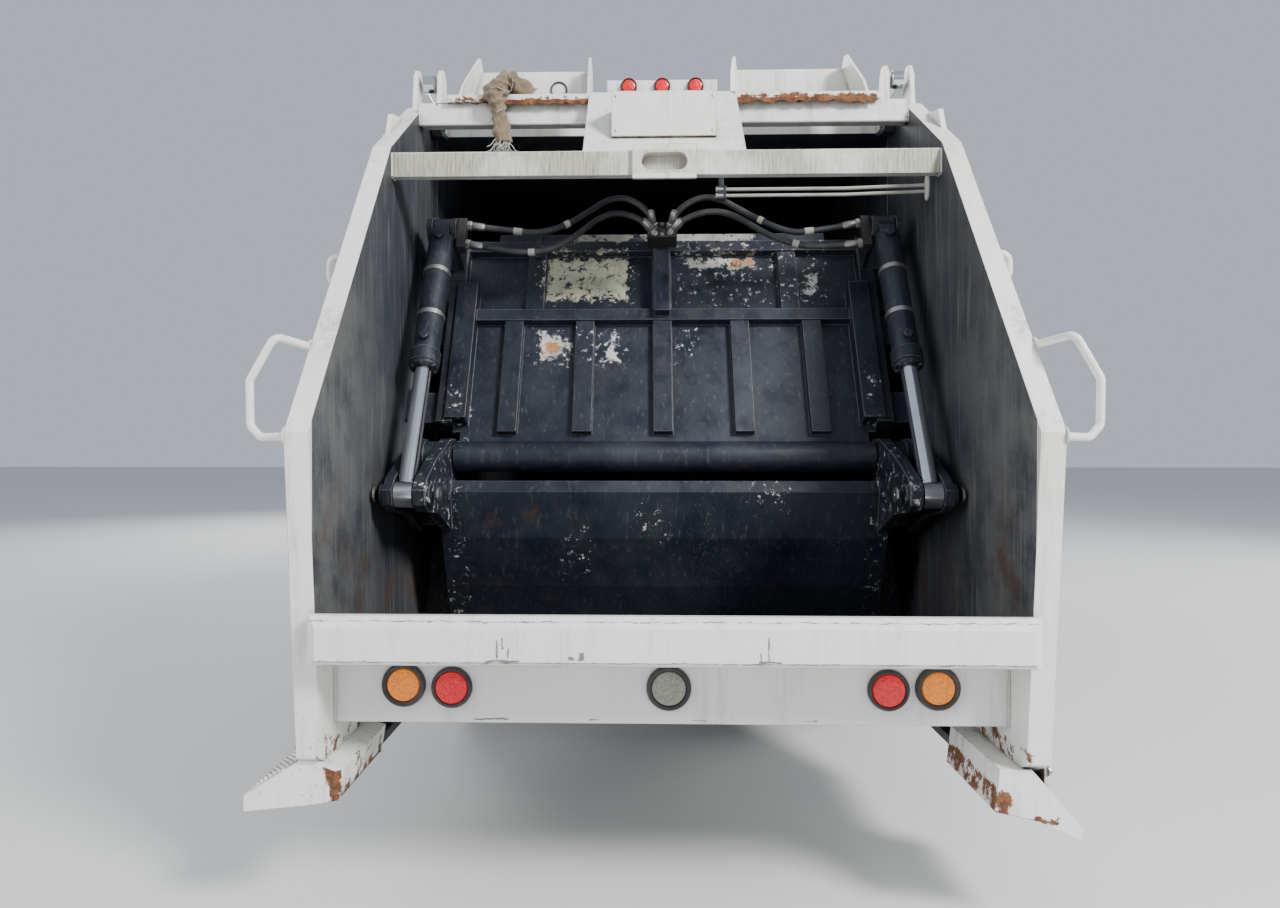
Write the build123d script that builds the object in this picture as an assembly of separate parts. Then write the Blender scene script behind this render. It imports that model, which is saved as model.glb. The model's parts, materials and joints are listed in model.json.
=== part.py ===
from build123d import *
import math
import os

# All sizes are in millimetres. Distances along the truck run forward from the rear face of the hopper sill,
# heights run up from the ground, and x runs from the truck's middle to its right. save() moves the origin to
# the middle of the truck.

# Overall layout, from the tail to the front bumper
TAILGATE_DEPTH = 1840
TAILGATE_SEAM = 10
BODY_LENGTH = 5300
CAB_GAP = 250
CAB_LENGTH = 1930
BUMPER_DEPTH = 120
BODY_REAR = TAILGATE_DEPTH + TAILGATE_SEAM
BODY_FRONT = BODY_REAR + BODY_LENGTH
CAB_REAR = BODY_FRONT + CAB_GAP
CAB_FRONT = CAB_REAR + CAB_LENGTH
OVERALL_LENGTH = CAB_FRONT + BUMPER_DEPTH

# Load body
BODY_WIDTH = 2438
FLOOR_TOP = 1180
FLOOR_THICK = 60
ROOF_TOP = 3230
ROOF_THICK = 40
BODY_SKIN = 40
BODY_RIB_DEPTH = 40
BODY_RIB_WIDTH = 90
BODY_RIB_COUNT = 8
BULKHEAD_THICK = 40
ROOF_CORNER_R = 60
HALF_WIDTH = BODY_WIDTH / 2
BODY_INNER_X = HALF_WIDTH - BODY_RIB_DEPTH - BODY_SKIN

# Tailgate side walls, as an outline of (along, height)
SIDE_THICK = 79
KINK = (30, 1661)
FLANGE_FOOT = (127, 596)
FLANGE_TOP = (992, 2864)
SIDE_LOW = 490
WALL_FOOT = 330
LIP_WIDTH = 38
LIP_DEPTH = 35
SIDE_INNER_X = HALF_WIDTH - SIDE_THICK
HOPPER_HALF = SIDE_INNER_X

# Tailgate hinge on the roof corners and its lift cylinders
TAIL_HINGE = (1750, 3215)
TAIL_PIN_R = 30
LIFT_EYE = (1615, 3365)
LIFT_BASE = (2900, 3345)
LIFT_X = HALF_WIDTH - 96
LIFT_EYE_HALF = 24
LIFT_PIN_R = 25
LIFT_BARREL_R = 50
LIFT_ROD_R = 28
LIFT_BARREL_LENGTH = 760
LIFT_ROD_LENGTH = 900

# Packer: the sweep blade's hinge, the slide's lean from vertical, and its stroke
BLADE_HINGE = (1195, 1570)
SLIDE_LEAN = 27
SLIDE_TOP = 1140
TUBE_R = 67
HINGE_PIN_R = 40
PIN_PLAY = 0.3
BLADE_FLOOR_R = 965
BLADE_TIP_REAR = (262, -895)
BLADE_TIP_FRONT = (290, -890)
RAMP_PLAY = 25
SWEEP_PIN = (-505, -140)
SWEEP_BASE = (1010, 310)
SWEEP_BASE_R = 30
POST_HALF = 35
POST_BACK = 110
HOSE_R = 14
SWEEP_X = SIDE_INNER_X - 135
TUBE_HALF = SWEEP_X - 93
PANEL_HALF = SWEEP_X - 70
EYE_HALF = 35
EYE_PLAY = 5
ARM_INNER_THICK = 46
ARM_OUTER_THICK = 36
SWEEP_BARREL_R = 57
SWEEP_ROD_R = 35
SWEEP_BARREL_LENGTH = 760
SWEEP_ROD_LENGTH = 770
SLIDE_CYL_X = SIDE_INNER_X - 65
SLIDE_CYL_FORWARD = 262
SLIDE_BARREL_R = 44
SLIDE_ROD_R = 28
ROD_PLAY = 0.5

# Trough, lamps and handles of the tailgate
TROUGH_INNER_X = 336
TROUGH_OUTER_X = 1002
TROUGH_FLOOR = 3223
TROUGH = (1440, 1680)
LAMP_PANEL_FACE = 268
LAMP_BAR_FACE = 1530
RAIL_R = 13
RAIL_BEND = 32
STEP_REAR = 150
STEP_DEPTH = 480

# Chassis, axles and wheels
RAIL_OUTER_X = 431
RAIL_DEPTH = 270
RAIL_FLANGE = 80
RAIL_THICK = 10
RAIL_TOP = 1050
RAIL_REAR = 1950
FRONT_AXLE = CAB_REAR + 650
REAR_AXLES = (BODY_REAR + 1200, BODY_REAR + 2520)
TYRE_R = 525
TYRE_WIDTH = 280
RIM_R = 285.5
RIM_WALL = 14
RIM_LIP = 14
RIM_LIP_WIDTH = 10
RIM_WIDTH = 230
HAND_HOLE_RING = 222
HAND_HOLE_R = 24
SEAT_GAP = 0.3
REAR_TRACK_X = 910
TWIN_PITCH = 340
FRONT_WHEEL_X = 1060
KINGPIN_X = 880
TIE_ROD_BACK = 180
TIE_ROD_Z = 410
TIE_ROD_R = 19
STEER_ARM_Z = 436
FRONT_SPINDLE_R = 40
REAR_SPINDLE_R = 48
CHAMBER_X = 505
CHAMBER_R = 74
GUARD_R = TYRE_R + 45
GUARD_THICK = 6

# Cab
CAB_HALF = 1175
CAB_FLOOR = 1110
CAB_ROOF = 2790
CAB_WALL = 55
DOOR_FRONT = CAB_FRONT - 115
DOOR_REAR = CAB_REAR + 1100
DOOR_TOP = CAB_ROOF - 230
WAIST = 1700
SCREEN_TOP = CAB_ROOF - 250
DOOR_LOW = CAB_FLOOR + CAB_WALL + 5
DOOR_GAP = 6
DOOR_HINGE = (CAB_HALF - 23, DOOR_FRONT + 1)
DOOR_HINGE_R = 12
ROOF_SEAM = CAB_ROOF - 180
DASH_HALF = CAB_HALF - 135
WHEEL_X = -640
LAMP_X = 850
SEAT_X = 750
GRILLE_HALF = 620
TOW_HOLE_R = 22
TOW_EYE = (CAB_FRONT + 65, 515)
TOW_X = 391
TOW_THICK = 30


def side_plate(points, x_from, x_to):
    """A plate standing fore and aft, from its outline in (along, height) and its two faces in x."""
    face = Plane.YZ * make_face(Polyline(*points, close=True))
    return Pos(x_from, 0, 0) * extrude(face, x_to - x_from, dir=(1, 0, 0))


def side_shape(edges, x_from, x_to):
    """The same from edges, where the outline has arcs."""
    face = Plane.YZ * make_face(edges)
    return Pos(x_from, 0, 0) * extrude(face, x_to - x_from, dir=(1, 0, 0))


def rear_plate(points, along_from, along_to):
    """A plate standing across the truck, from its outline in (x, height)."""
    face = Plane.XZ * make_face(Polyline(*points, close=True))
    return Pos(0, along_from, 0) * extrude(face, along_to - along_from, dir=(0, 1, 0))


def plan_plate(points, z_from, z_to):
    """A level plate, from its outline in (x, along)."""
    face = make_face(Polyline(*points, close=True))
    return Pos(0, 0, z_from) * extrude(face, z_to - z_from, dir=(0, 0, 1))


def block(x, along, z):
    """A box from its low and high values in x, along the truck and in height."""
    size = (x[1] - x[0], along[1] - along[0], z[1] - z[0])
    return Pos((x[0] + x[1]) / 2, (along[0] + along[1]) / 2, (z[0] + z[1]) / 2) * Box(*size)


def rod(start, end, radius):
    """A round bar between two points (x, along, height)."""
    axis = Vector(*end) - Vector(*start)
    bar = Cylinder(radius, axis.length, align=(Align.CENTER, Align.CENTER, Align.MIN))
    return Plane(origin=start, z_dir=axis) * bar


def cross_rod(x_from, x_to, at, radius):
    """A round bar across the truck at (along, height)."""
    return rod((x_from, *at), (x_to, *at), radius)


def both_sides(shape):
    return shape + mirror(shape, about=Plane.YZ)


def fused(shapes):
    whole = shapes[0]
    for shape in shapes[1:]:
        whole = whole + shape
    return whole


def packer_at(up, back):
    """(along, height) of a point up the slide from the blade's hinge and square to it, towards the rear."""
    lean = math.radians(SLIDE_LEAN)
    return (
        BLADE_HINGE[0] + up * math.sin(lean) - back * math.cos(lean),
        BLADE_HINGE[1] + up * math.cos(lean) + back * math.sin(lean),
    )


def packer_plate(points, x_from, x_to):
    """A plate fore and aft with its outline in (up, back) of the packer's slide."""
    return side_plate([packer_at(up, back) for up, back in points], x_from, x_to)


def packer_box(x, up, back):
    corners = [(up[0], back[0]), (up[1], back[0]), (up[1], back[1]), (up[0], back[1])]
    return packer_plate(corners, *x)


def step_towards(start, end, distance):
    """The point at a distance from start on the way to end, both as (along, height)."""
    length = math.dist(start, end)
    return tuple(a + (b - a) * distance / length for a, b in zip(start, end))


def cylinder_barrel(base, eye, x, radius, bore_r, length, pin_r, eye_half):
    """A hydraulic barrel hung at its base pin and bored for its rod, pointing at eye."""
    start = step_towards(base, eye, radius + 8)
    end = step_towards(base, eye, length)
    bore_start = step_towards(base, eye, radius + 40)
    bore_end = step_towards(base, eye, length + 1)
    collar = step_towards(base, eye, length - 60)
    axis = Vector(x, *eye) - Vector(x, *base)
    neck_box = Box(2 * eye_half, radius * 1.4, radius + 20, align=(Align.CENTER, Align.CENTER, Align.MIN))
    neck = Plane(origin=(x, *base), x_dir=(1, 0, 0), z_dir=axis) * neck_box
    lug = cross_rod(x - eye_half, x + eye_half, base, radius * 0.8)
    shape = rod((x, *start), (x, *end), radius) + rod((x, *collar), (x, *end), radius + 8)
    shape = shape + (lug + neck)
    shape = shape - rod((x, *bore_start), (x, *bore_end), bore_r)
    return shape - cross_rod(x - 200, x + 200, base, pin_r + PIN_PLAY)


def cylinder_rod(base, eye, x, radius, length, eye_r, eye_half):
    """A rod with a round eye, reaching back into the barrel that hangs at base."""
    inner = step_towards(eye, base, length)
    shank = rod((x, *step_towards(eye, base, eye_r * 0.5)), (x, *inner), radius)
    return cross_rod(x - eye_half, x + eye_half, eye, eye_r) + shank


def wall_outline():
    """The side wall's outline in (along, height)."""
    return [
        FLANGE_FOOT,
        KINK,
        FLANGE_TOP,
        (1545, 3225),
        (1700, 3290),
        (1790, 3280),
        (TAILGATE_DEPTH, 3200),
        (TAILGATE_DEPTH, 1000),
        (1300, SIDE_LOW),
        (WALL_FOOT, SIDE_LOW),
    ]


def tail_side():
    """The right side wall of the tailgate, pocketed outside between its frames."""
    wall = side_plate(wall_outline(), SIDE_INNER_X, HALF_WIDTH)
    pocket_rear = [(230, 1080), (165, 1640), (1010, 2690), (1080, 2690), (1080, 1080)]
    pocket_front = [(1170, 1080), (1170, 2880), (1560, 3130), (1750, 3110), (1750, 1080)]
    pocket_low = [(360, 600), (250, 990), (1740, 990), (1270, 600)]
    for pocket in (pocket_rear, pocket_front, pocket_low):
        wall = wall - side_plate(pocket, HALF_WIDTH - 30, HALF_WIDTH + 1)
    lip = block((SIDE_INNER_X - LIP_WIDTH, HALF_WIDTH), (WALL_FOOT, 1290), (SIDE_LOW - LIP_DEPTH, SIDE_LOW))
    ear_outline = [(1548, 3225), (1575, 3395), (1605, 3430), (1640, 3430), (1668, 3395), (1690, 3285)]
    ear = side_plate(ear_outline, LIFT_X + LIFT_EYE_HALF + 23, LIFT_X + LIFT_EYE_HALF + 45)
    pin = cross_rod(LIFT_X - 43, SIDE_INNER_X + 10, TAIL_HINGE, TAIL_PIN_R)
    guide = packer_box((SIDE_INNER_X - 35, SIDE_INNER_X + 1), (-100, 1310), (-45, 45))
    hook = side_plate([(1163, 2951), (1227, 3087), (1376, 3122), (1324, 3004)], HALF_WIDTH - 23, HALF_WIDTH)
    return wall + lip + ear + pin + guide + hook


def hopper_floor():
    """The hopper's floor: a slope from the sill, an arc about the blade's hinge and a ramp up to the body."""
    thick = 12
    start = (60, 1075)
    distance = math.dist(start, BLADE_HINGE)
    rise = math.atan2(BLADE_HINGE[1] - start[1], BLADE_HINGE[0] - start[0])
    slope = rise - math.asin(BLADE_FLOOR_R / distance)
    lean = math.radians(SLIDE_LEAN)
    tip_back = -BLADE_TIP_FRONT[0] * math.cos(lean) + BLADE_TIP_FRONT[1] * math.sin(lean)
    ramp_back = tip_back - RAMP_PLAY

    def path(out):
        """The floor's line, set out by a distance below its upper face."""
        radius = BLADE_FLOOR_R + out
        first = (start[0], start[1] - out / math.cos(slope))
        touch = (BLADE_HINGE[0] + radius * math.sin(slope), BLADE_HINGE[1] - radius * math.cos(slope))
        back = ramp_back - out
        foot = packer_at(-math.sqrt(radius**2 - back**2), back)
        foot_angle = math.atan2(foot[1] - BLADE_HINGE[1], foot[0] - BLADE_HINGE[0])
        mid_angle = (foot_angle + math.atan2(touch[1] - BLADE_HINGE[1], touch[0] - BLADE_HINGE[0])) / 2
        middle = (BLADE_HINGE[0] + radius * math.cos(mid_angle), BLADE_HINGE[1] + radius * math.sin(mid_angle))
        top_height = FLOOR_TOP - out
        top = (foot[0] + (top_height - foot[1]) * math.tan(lean), top_height)
        return first, touch, middle, foot, top, (TAILGATE_DEPTH, top_height)

    a = path(0)
    b = path(thick)
    edges = [
        Line(a[0], a[1]),
        ThreePointArc(a[1], a[2], a[3]),
        Line(a[3], a[4]),
        Line(a[4], a[5]),
        Line(a[5], b[5]),
        Line(b[5], b[4]),
        Line(b[4], b[3]),
        ThreePointArc(b[3], b[2], b[1]),
        Line(b[1], b[0]),
        Line(b[0], a[0]),
    ]
    return side_shape(edges, -HOPPER_HALF, HOPPER_HALF)


def hopper_sill():
    """The loading sill, its ends cut back, with the recessed lamp panel below it."""
    end = SIDE_INNER_X + 7
    face = side_plate([(0, 945), (0, 1050), (30, 1084), (59, 1084), (59, 931), (14, 931)], -end, end)
    for side in (-1, 1):
        tip = side * (end + 1)
        face = face - plan_plate([(tip - side * 35, -1), (tip, 34), (tip, -1)], 930, 1085)
    across = (-HOPPER_HALF, HOPPER_HALF)
    shelf = block(across, (59, LAMP_PANEL_FACE + 12), (919, 931))
    panel = block(across, (LAMP_PANEL_FACE, LAMP_PANEL_FACE + 12), (677, 931))
    foot = block(across, (LAMP_PANEL_FACE, 700), (677, 689))
    return face + shelf + panel + foot


def trough():
    """The right half of the open tray on top of the tailgate, with its lip, back wall and gussets."""
    x = (TROUGH_INNER_X, TROUGH_OUTER_X)
    rear, front = TROUGH
    low = TROUGH_FLOOR
    tray = block(x, TROUGH, (low, low + 14)) + block(x, (rear, rear + 12), (low - 5, low + 27))
    gusset = [(rear, low), (rear, low + 77), (rear + 119, 3466), (rear + 150, 3466)]
    gusset = gusset + [(front, 3440), (front, low)]
    inner = side_plate(gusset, x[0], x[0] + 12)
    leaning = [(x[1] - 60, low), (x[1] - 46, low), (x[1] - 124, 3470), (x[1] - 138, 3470)]
    outer = rear_plate(leaning, rear, front) & side_plate(gusset, *x)
    wall = rear_plate([(x[0], low), (x[1] - 50, low), (x[1] - 126, 3440), (x[0], 3440)], front - 20, front)
    return tray + wall + inner + outer


def tail_frame():
    """Cross beams, centre cover, number box, top trays and inner cylinder ears of the tailgate."""
    across = (-HOPPER_HALF, HOPPER_HALF)
    beam = block(across, (992, 1042), (2741, 2842))
    lamp_box = block((-132, 132), (972, 992), (2722, 2863))
    top_beam = block(across, (1470, 1572), (TROUGH_FLOOR - 90, TROUGH_FLOOR))
    bead = cross_rod(-HOPPER_HALF, HOPPER_HALF, (1470, TROUGH_FLOOR - 98), 9)
    cover = side_plate([(1000, 2842), (1030, 2842), (1500, 3215), (1500, 3266), (1470, 3266)], -340, 340)
    number_box = side_plate([(1085, 2932), (1085, 3123), (1300, 3123), (1120, 2932)], -223, 223)
    bar_foot = block((-260, 260), (LAMP_BAR_FACE, 1572), (TROUGH_FLOOR - 10, 3262))
    lamp_bar = block((-260, 260), (LAMP_BAR_FACE, LAMP_BAR_FACE + 30), (3250, 3344))
    shape = beam + lamp_box + top_beam + bead + cover + number_box + bar_foot + lamp_bar
    hole = Pos(0, 960, 2792) * extrude(Plane.XZ * SlotOverall(190, 70), 60, dir=(0, 1, 0))
    shape = shape - hole
    ear = [(1548, 3200), (1575, 3395), (1605, 3430), (1640, 3430), (1668, 3395), (1690, 3300), (1640, 3200)]
    inner_ear = side_plate(ear, LIFT_X - LIFT_EYE_HALF - 45, LIFT_X - LIFT_EYE_HALF - 23)
    return shape + both_sides(trough()) + both_sides(inner_ear)


def round_lamps(places, radius):
    """Round lamps on the lamp panel, from a table of (x, height, along of the face they stand on)."""
    return fused([rod((x, face, height), (x, face - 22, height), radius) for x, height, face in places])


def riding_steps():
    """The two riding steps, hollow wedges under the walls. The right one hangs bent down."""
    outlines = {
        -1: [(1198, 594), (1405, 466), (1405, 410), (1166, 436), (1083, 453), (1066, 559)],
        1: [(1166, 574), (1336, 381), (1326, 343), (1192, 406), (1049, 436), (1064, 573)],
    }
    sheet = 8
    wall = side_plate(wall_outline(), SIDE_INNER_X - SEAT_GAP, HALF_WIDTH + SEAT_GAP)
    lip_x = (SIDE_INNER_X - LIP_WIDTH - SEAT_GAP, HALF_WIDTH + SEAT_GAP)
    wall = wall + block(lip_x, (WALL_FOOT - SEAT_GAP, 1290), (SIDE_LOW - LIP_DEPTH - SEAT_GAP, SIDE_LOW + 1))
    steps = []
    for side, outline in outlines.items():
        step = rear_plate(outline, STEP_REAR, STEP_REAR + STEP_DEPTH)
        top_inner, tip, low_tip, low_mid, low_inner, foot = outline
        hollow = [
            (foot[0] + sheet, foot[1] - 2 * sheet),
            (top_inner[0], top_inner[1] - 2 * sheet),
            (tip[0] - sheet, tip[1] - sheet),
            (low_tip[0] - sheet, low_tip[1] - 90),
            (low_inner[0] + sheet, low_inner[1] - 90),
        ]
        step = step - rear_plate(hollow, STEP_REAR + sheet, STEP_REAR + STEP_DEPTH - sheet)
        plate = block((HALF_WIDTH + SEAT_GAP, HALF_WIDTH + SEAT_GAP + 10), (180, 420), (500, 640)) + (
            block((HALF_WIDTH - 20, HALF_WIDTH + 10), (180, 420), (tip[1], top_inner[1] - 20))
            & rear_plate(outline, STEP_REAR, STEP_REAR + STEP_DEPTH)
        )
        step = (step + plate) - wall
        steps.append(step if side == 1 else mirror(step, about=Plane.YZ))
    return steps[0] + steps[1]


def grab_rails():
    """Bent tube handles: a long one at each rear corner and a small arch above it."""
    root = HALF_WIDTH - 9
    low = [
        (root, 285, 1952),
        (HALF_WIDTH + 68, 130, 1974),
        (HALF_WIDTH + 146, 120, 1830),
        (HALF_WIDTH + 144, 120, 1684),
        (HALF_WIDTH + 108, 112, 1645),
        (root, 50, 1648),
    ]
    reach = HALF_WIDTH + 81
    high = [(root, 700, 2245), (reach, 700, 2245), (reach, 700, 2348), (root, 700, 2348)]
    rails = []
    for points in (low, high):
        path = FilletPolyline(*points, radius=RAIL_BEND)
        profile = Plane(origin=path @ 0, z_dir=path % 0) * Circle(RAIL_R)
        rails.append(sweep(profile, path=path))
    inside = block((0, HALF_WIDTH), (0, TAILGATE_DEPTH), (0, ROOF_TOP))
    return both_sides(fused(rails) - inside)


def packer_slide():
    """The ribbed slide panel with its side channels, cross tube, pins, shoes and cylinder brackets."""
    top = SLIDE_TOP
    panel = packer_box((-PANEL_HALF, PANEL_HALF), (115, top), (-15, 15))
    web = packer_box((35 - PANEL_HALF, PANEL_HALF - 35), (0, 116), (-15, 15))
    crest = packer_box((135 - PANEL_HALF, PANEL_HALF - 135), (top - 1, top + 88), (-15, 5))
    tube = cross_rod(-TUBE_HALF, TUBE_HALF, BLADE_HINGE, TUBE_R)
    shape = panel + web + crest + tube
    for x in (-690, -359, 0, 359, 690):
        shape = shape + packer_box((x - 42, x + 42), (100, 700), (15, 50))
    beam = (4 - PANEL_HALF, PANEL_HALF - 4)
    shape = shape + packer_box(beam, (680, 740), (15, 62)) + packer_box(beam, (top - 60, top), (15, 62))
    for x in (-600, 0, 600):
        shape = shape + packer_box((x - 42, x + 42), (740, top - 60), (15, 50))
    shape = shape + packer_box((-POST_HALF, POST_HALF), (700, 1180), (50, POST_BACK))
    bracket_in = SWEEP_X - EYE_HALF - 32
    bracket_out = SWEEP_X + EYE_HALF + 4
    pin = cross_rod(TUBE_HALF, SWEEP_X + EYE_HALF + EYE_PLAY + ARM_OUTER_THICK + 8, BLADE_HINGE, HINGE_PIN_R)
    channel = packer_box((PANEL_HALF - 5, PANEL_HALF + 65), (135, top), (-60, 80))
    stiffener = packer_box((PANEL_HALF - 67, PANEL_HALF + 25), (145, 865), (79, 100))
    stiffener = stiffener + packer_box((PANEL_HALF - 67, PANEL_HALF - 59), (145, 865), (14, 80))
    side = pin + channel + stiffener
    shoe_out = SIDE_INNER_X - 35 - SEAT_GAP
    for up in (150, 560):
        side = side + packer_box((PANEL_HALF + 64, shoe_out), (up, up + 150), (-40, 40))
        for back in (46, -75):
            side = side + packer_box((shoe_out - 25, SIDE_INNER_X - 2), (up, up + 150), (back, back + 29))
        side = side + packer_box((shoe_out - 25, shoe_out), (up, up + 150), (-75, 75))
    for x in (bracket_in, bracket_out):
        plate = [(950, 70), (1100, 70), (1062, 325), (1025, 362), (985, 362), (952, 320)]
        side = side + packer_plate(plate, x, x + 28)
    side = side + cross_rod(bracket_in, bracket_out + 28, packer_at(*SWEEP_BASE), SWEEP_BASE_R)
    bridge = packer_box((PANEL_HALF + 65, bracket_out + 28), (955, 1095), (60, 80))
    bracket = packer_box((PANEL_HALF + 64, SLIDE_CYL_X + 30), (790, 850), (-60, -30))
    reach = (35 - SLIDE_CYL_FORWARD, -30)
    bracket = bracket + packer_box((SLIDE_CYL_X - 25, SLIDE_CYL_X + 25), (790, 850), reach)
    side = side + bridge + bracket
    return shape + both_sides(side)


def slide_cylinders():
    """The slide's own cylinders: bored barrels fixed to the walls and rods fixed to the slide."""
    back = -SLIDE_CYL_FORWARD
    x = SLIDE_CYL_X
    low = packer_at(0, back)
    high = packer_at(740, back)
    bore = packer_at(40, back)
    barrel = rod((x, *low), (x, *high), SLIDE_BARREL_R)
    barrel = barrel - rod((x, *bore), (x, *packer_at(741, back)), SLIDE_ROD_R + ROD_PLAY)
    for up in (20, 560):
        barrel = barrel + (
            packer_box((x, SIDE_INNER_X), (up, up + 60), (back - 30, back + 30))
            - rod((x, *low), (x, *high), SLIDE_BARREL_R - 1)
        )
    rod_shape = rod((x, *packer_at(50, back)), (x, *packer_at(820, back)), SLIDE_ROD_R)
    head = packer_box((x - 25, x + 25), (790, 850), (back - 40, back + 35))
    return both_sides(barrel), both_sides(rod_shape + head)


def from_hinge(point):
    return (BLADE_HINGE[0] + point[0], BLADE_HINGE[1] + point[1])


def sweep_blade():
    """The folded blade with its side arms, which turn on the slide's end pins."""
    face = [
        (-62, -105),
        (-85, -150),
        (-40, -355),
        (60, -578),
        BLADE_TIP_REAR,
        BLADE_TIP_FRONT,
        (205, -560),
        (125, -300),
        (75, -105),
    ]
    gap_in = SWEEP_X - EYE_HALF - EYE_PLAY
    gap_out = SWEEP_X + EYE_HALF + EYE_PLAY
    arm_in = gap_in - ARM_INNER_THICK
    arm_out = gap_out + ARM_OUTER_THICK
    blade = side_plate([from_hinge(p) for p in face], -gap_in, gap_in)
    blade = blade - cross_rod(-1200, 1200, BLADE_HINGE, TUBE_R + 9)
    arm = [
        (45, 74),
        (-60, 78),
        (-330, 0),
        (-505, -75),
        (-560, -120),
        (-545, -180),
        (-500, -205),
        (-300, -230),
        (-60, -320),
        (20, -300),
        (62, -60),
    ]
    inner = side_plate([from_hinge(p) for p in arm], arm_in, gap_in)
    outer = side_plate([from_hinge(p) for p in arm], gap_out, arm_out)
    boss = cross_rod(gap_in, gap_out, BLADE_HINGE, TUBE_R)
    tie_outline = [(-60, -295), (0, -200), (35, -200), (20, -295)]
    low_tie = side_plate([from_hinge(p) for p in tie_outline], gap_in, gap_out)
    side = inner + outer + boss + low_tie
    side = side - cross_rod(900, 1200, BLADE_HINGE, HINGE_PIN_R + PIN_PLAY)
    caps = cross_rod(arm_out, arm_out + 15, from_hinge(SWEEP_PIN), 42)
    caps = caps + cross_rod(arm_in - 15, arm_in, from_hinge(SWEEP_PIN), 42)
    return blade + both_sides(side + caps)


def sweep_cylinders():
    base = packer_at(*SWEEP_BASE)
    eye = from_hinge(SWEEP_PIN)
    bore = SWEEP_ROD_R + ROD_PLAY
    length = SWEEP_BARREL_LENGTH
    barrel = cylinder_barrel(base, eye, SWEEP_X, SWEEP_BARREL_R, bore, length, SWEEP_BASE_R, EYE_HALF)
    rod_shape = cylinder_rod(base, eye, SWEEP_X, SWEEP_ROD_R, SWEEP_ROD_LENGTH, 52, EYE_HALF)
    return both_sides(barrel), both_sides(rod_shape)


def lift_cylinders():
    bore = LIFT_ROD_R + ROD_PLAY
    half = LIFT_EYE_HALF
    length = LIFT_BARREL_LENGTH
    barrel = cylinder_barrel(LIFT_BASE, LIFT_EYE, LIFT_X, LIFT_BARREL_R, bore, length, LIFT_PIN_R, half)
    rod_shape = cylinder_rod(LIFT_BASE, LIFT_EYE, LIFT_X, LIFT_ROD_R, LIFT_ROD_LENGTH, 42, half)
    return both_sides(barrel), both_sides(rod_shape)


def body_shell():
    """The load body: floor, ribbed sides, roof with round corners and front wall, open at the tail."""
    inner = BODY_INNER_X
    skin = inner + BODY_SKIN
    low = FLOOR_TOP - FLOOR_THICK
    shape = block((-HALF_WIDTH, HALF_WIDTH), (BODY_REAR, BODY_FRONT), (low, ROOF_TOP))
    corners = shape.edges().filter_by(Axis.Y).group_by(Axis.Z)[-1]
    shape = fillet(corners, ROOF_CORNER_R)
    length = (BODY_REAR - 1, BODY_FRONT - BULKHEAD_THICK)
    hollow = block((-inner, inner), length, (FLOOR_TOP, ROOF_TOP - ROOF_THICK))
    shape = shape - hollow
    pitch = (BODY_LENGTH - BODY_RIB_WIDTH) / (BODY_RIB_COUNT - 1)
    for i in range(BODY_RIB_COUNT - 1):
        along = BODY_REAR + i * pitch + BODY_RIB_WIDTH
        bay = (along, along + pitch - BODY_RIB_WIDTH)
        shape = shape - both_sides(block((skin, HALF_WIDTH + 1), bay, (FLOOR_TOP + 60, ROOF_TOP - 110)))
    hinge_s, hinge_z = TAIL_HINGE
    ear = side_plate(
        [
            (hinge_s - 60, hinge_z - 35),
            (hinge_s - 60, hinge_z + 35),
            (hinge_s - 35, hinge_z + 62),
            (hinge_s + 120, hinge_z + 62),
            (BODY_REAR + 350, ROOF_TOP - 5),
            (BODY_REAR + 5, ROOF_TOP - ROOF_THICK + 5),
            (BODY_REAR, ROOF_TOP - 60),
            (hinge_s - 30, hinge_z - 62),
        ],
        LIFT_X - 38,
        LIFT_X + 12,
    )
    ear = ear - cross_rod(LIFT_X - 123, LIFT_X + 77, TAIL_HINGE, TAIL_PIN_R + PIN_PLAY)
    base_s, base_z = LIFT_BASE
    foot = ROOF_TOP - 12
    top = base_z + 40
    outline = [(base_s - 45, foot), (base_s - 40, top), (base_s + 40, top), (base_s + 120, foot)]
    plates = []
    for x in (LIFT_X - 45, LIFT_X + 27):
        plates.append(side_plate(outline, x, x + 20))
    plates.append(cross_rod(LIFT_X - 45, LIFT_X + 47, LIFT_BASE, LIFT_PIN_R))
    shape = shape + both_sides(ear) + both_sides(fused(plates))
    sill_x = (RAIL_OUTER_X - RAIL_FLANGE, RAIL_OUTER_X)
    sills = block(sill_x, (RAIL_REAR, BODY_FRONT), (RAIL_TOP, low))
    return shape + both_sides(sills)


def ejector_panel():
    """The push-out panel: a leaning face with side cheeks, running on shoes on the floor."""
    front = BODY_FRONT - BULKHEAD_THICK - 40
    half = BODY_INNER_X - 12
    low = FLOOR_TOP + 12
    high = ROOF_TOP - ROOF_THICK - 25
    knee = low + 500
    face_outline = [
        (front - 950, low),
        (front - 950, knee),
        (front - 500, high),
        (front - 460, high),
        (front - 905, knee - 10),
        (front - 905, low),
    ]
    cheek_outline = [
        (front - 910, low),
        (front - 910, knee - 10),
        (front - 470, high),
        (front - 400, high),
        (front, low + 300),
        (front, low),
    ]
    face = side_plate(face_outline, -half, half)
    cheek = side_plate(cheek_outline, half - 40, half)
    shoe = block((half - 160, half), (front - 905, front), (FLOOR_TOP + SEAT_GAP, low + 30))
    tie = block((-half + 40, half - 40), (front - 120, front - 60), (low + 60, low + 180))
    return face + both_sides(cheek + shoe) + tie


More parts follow.
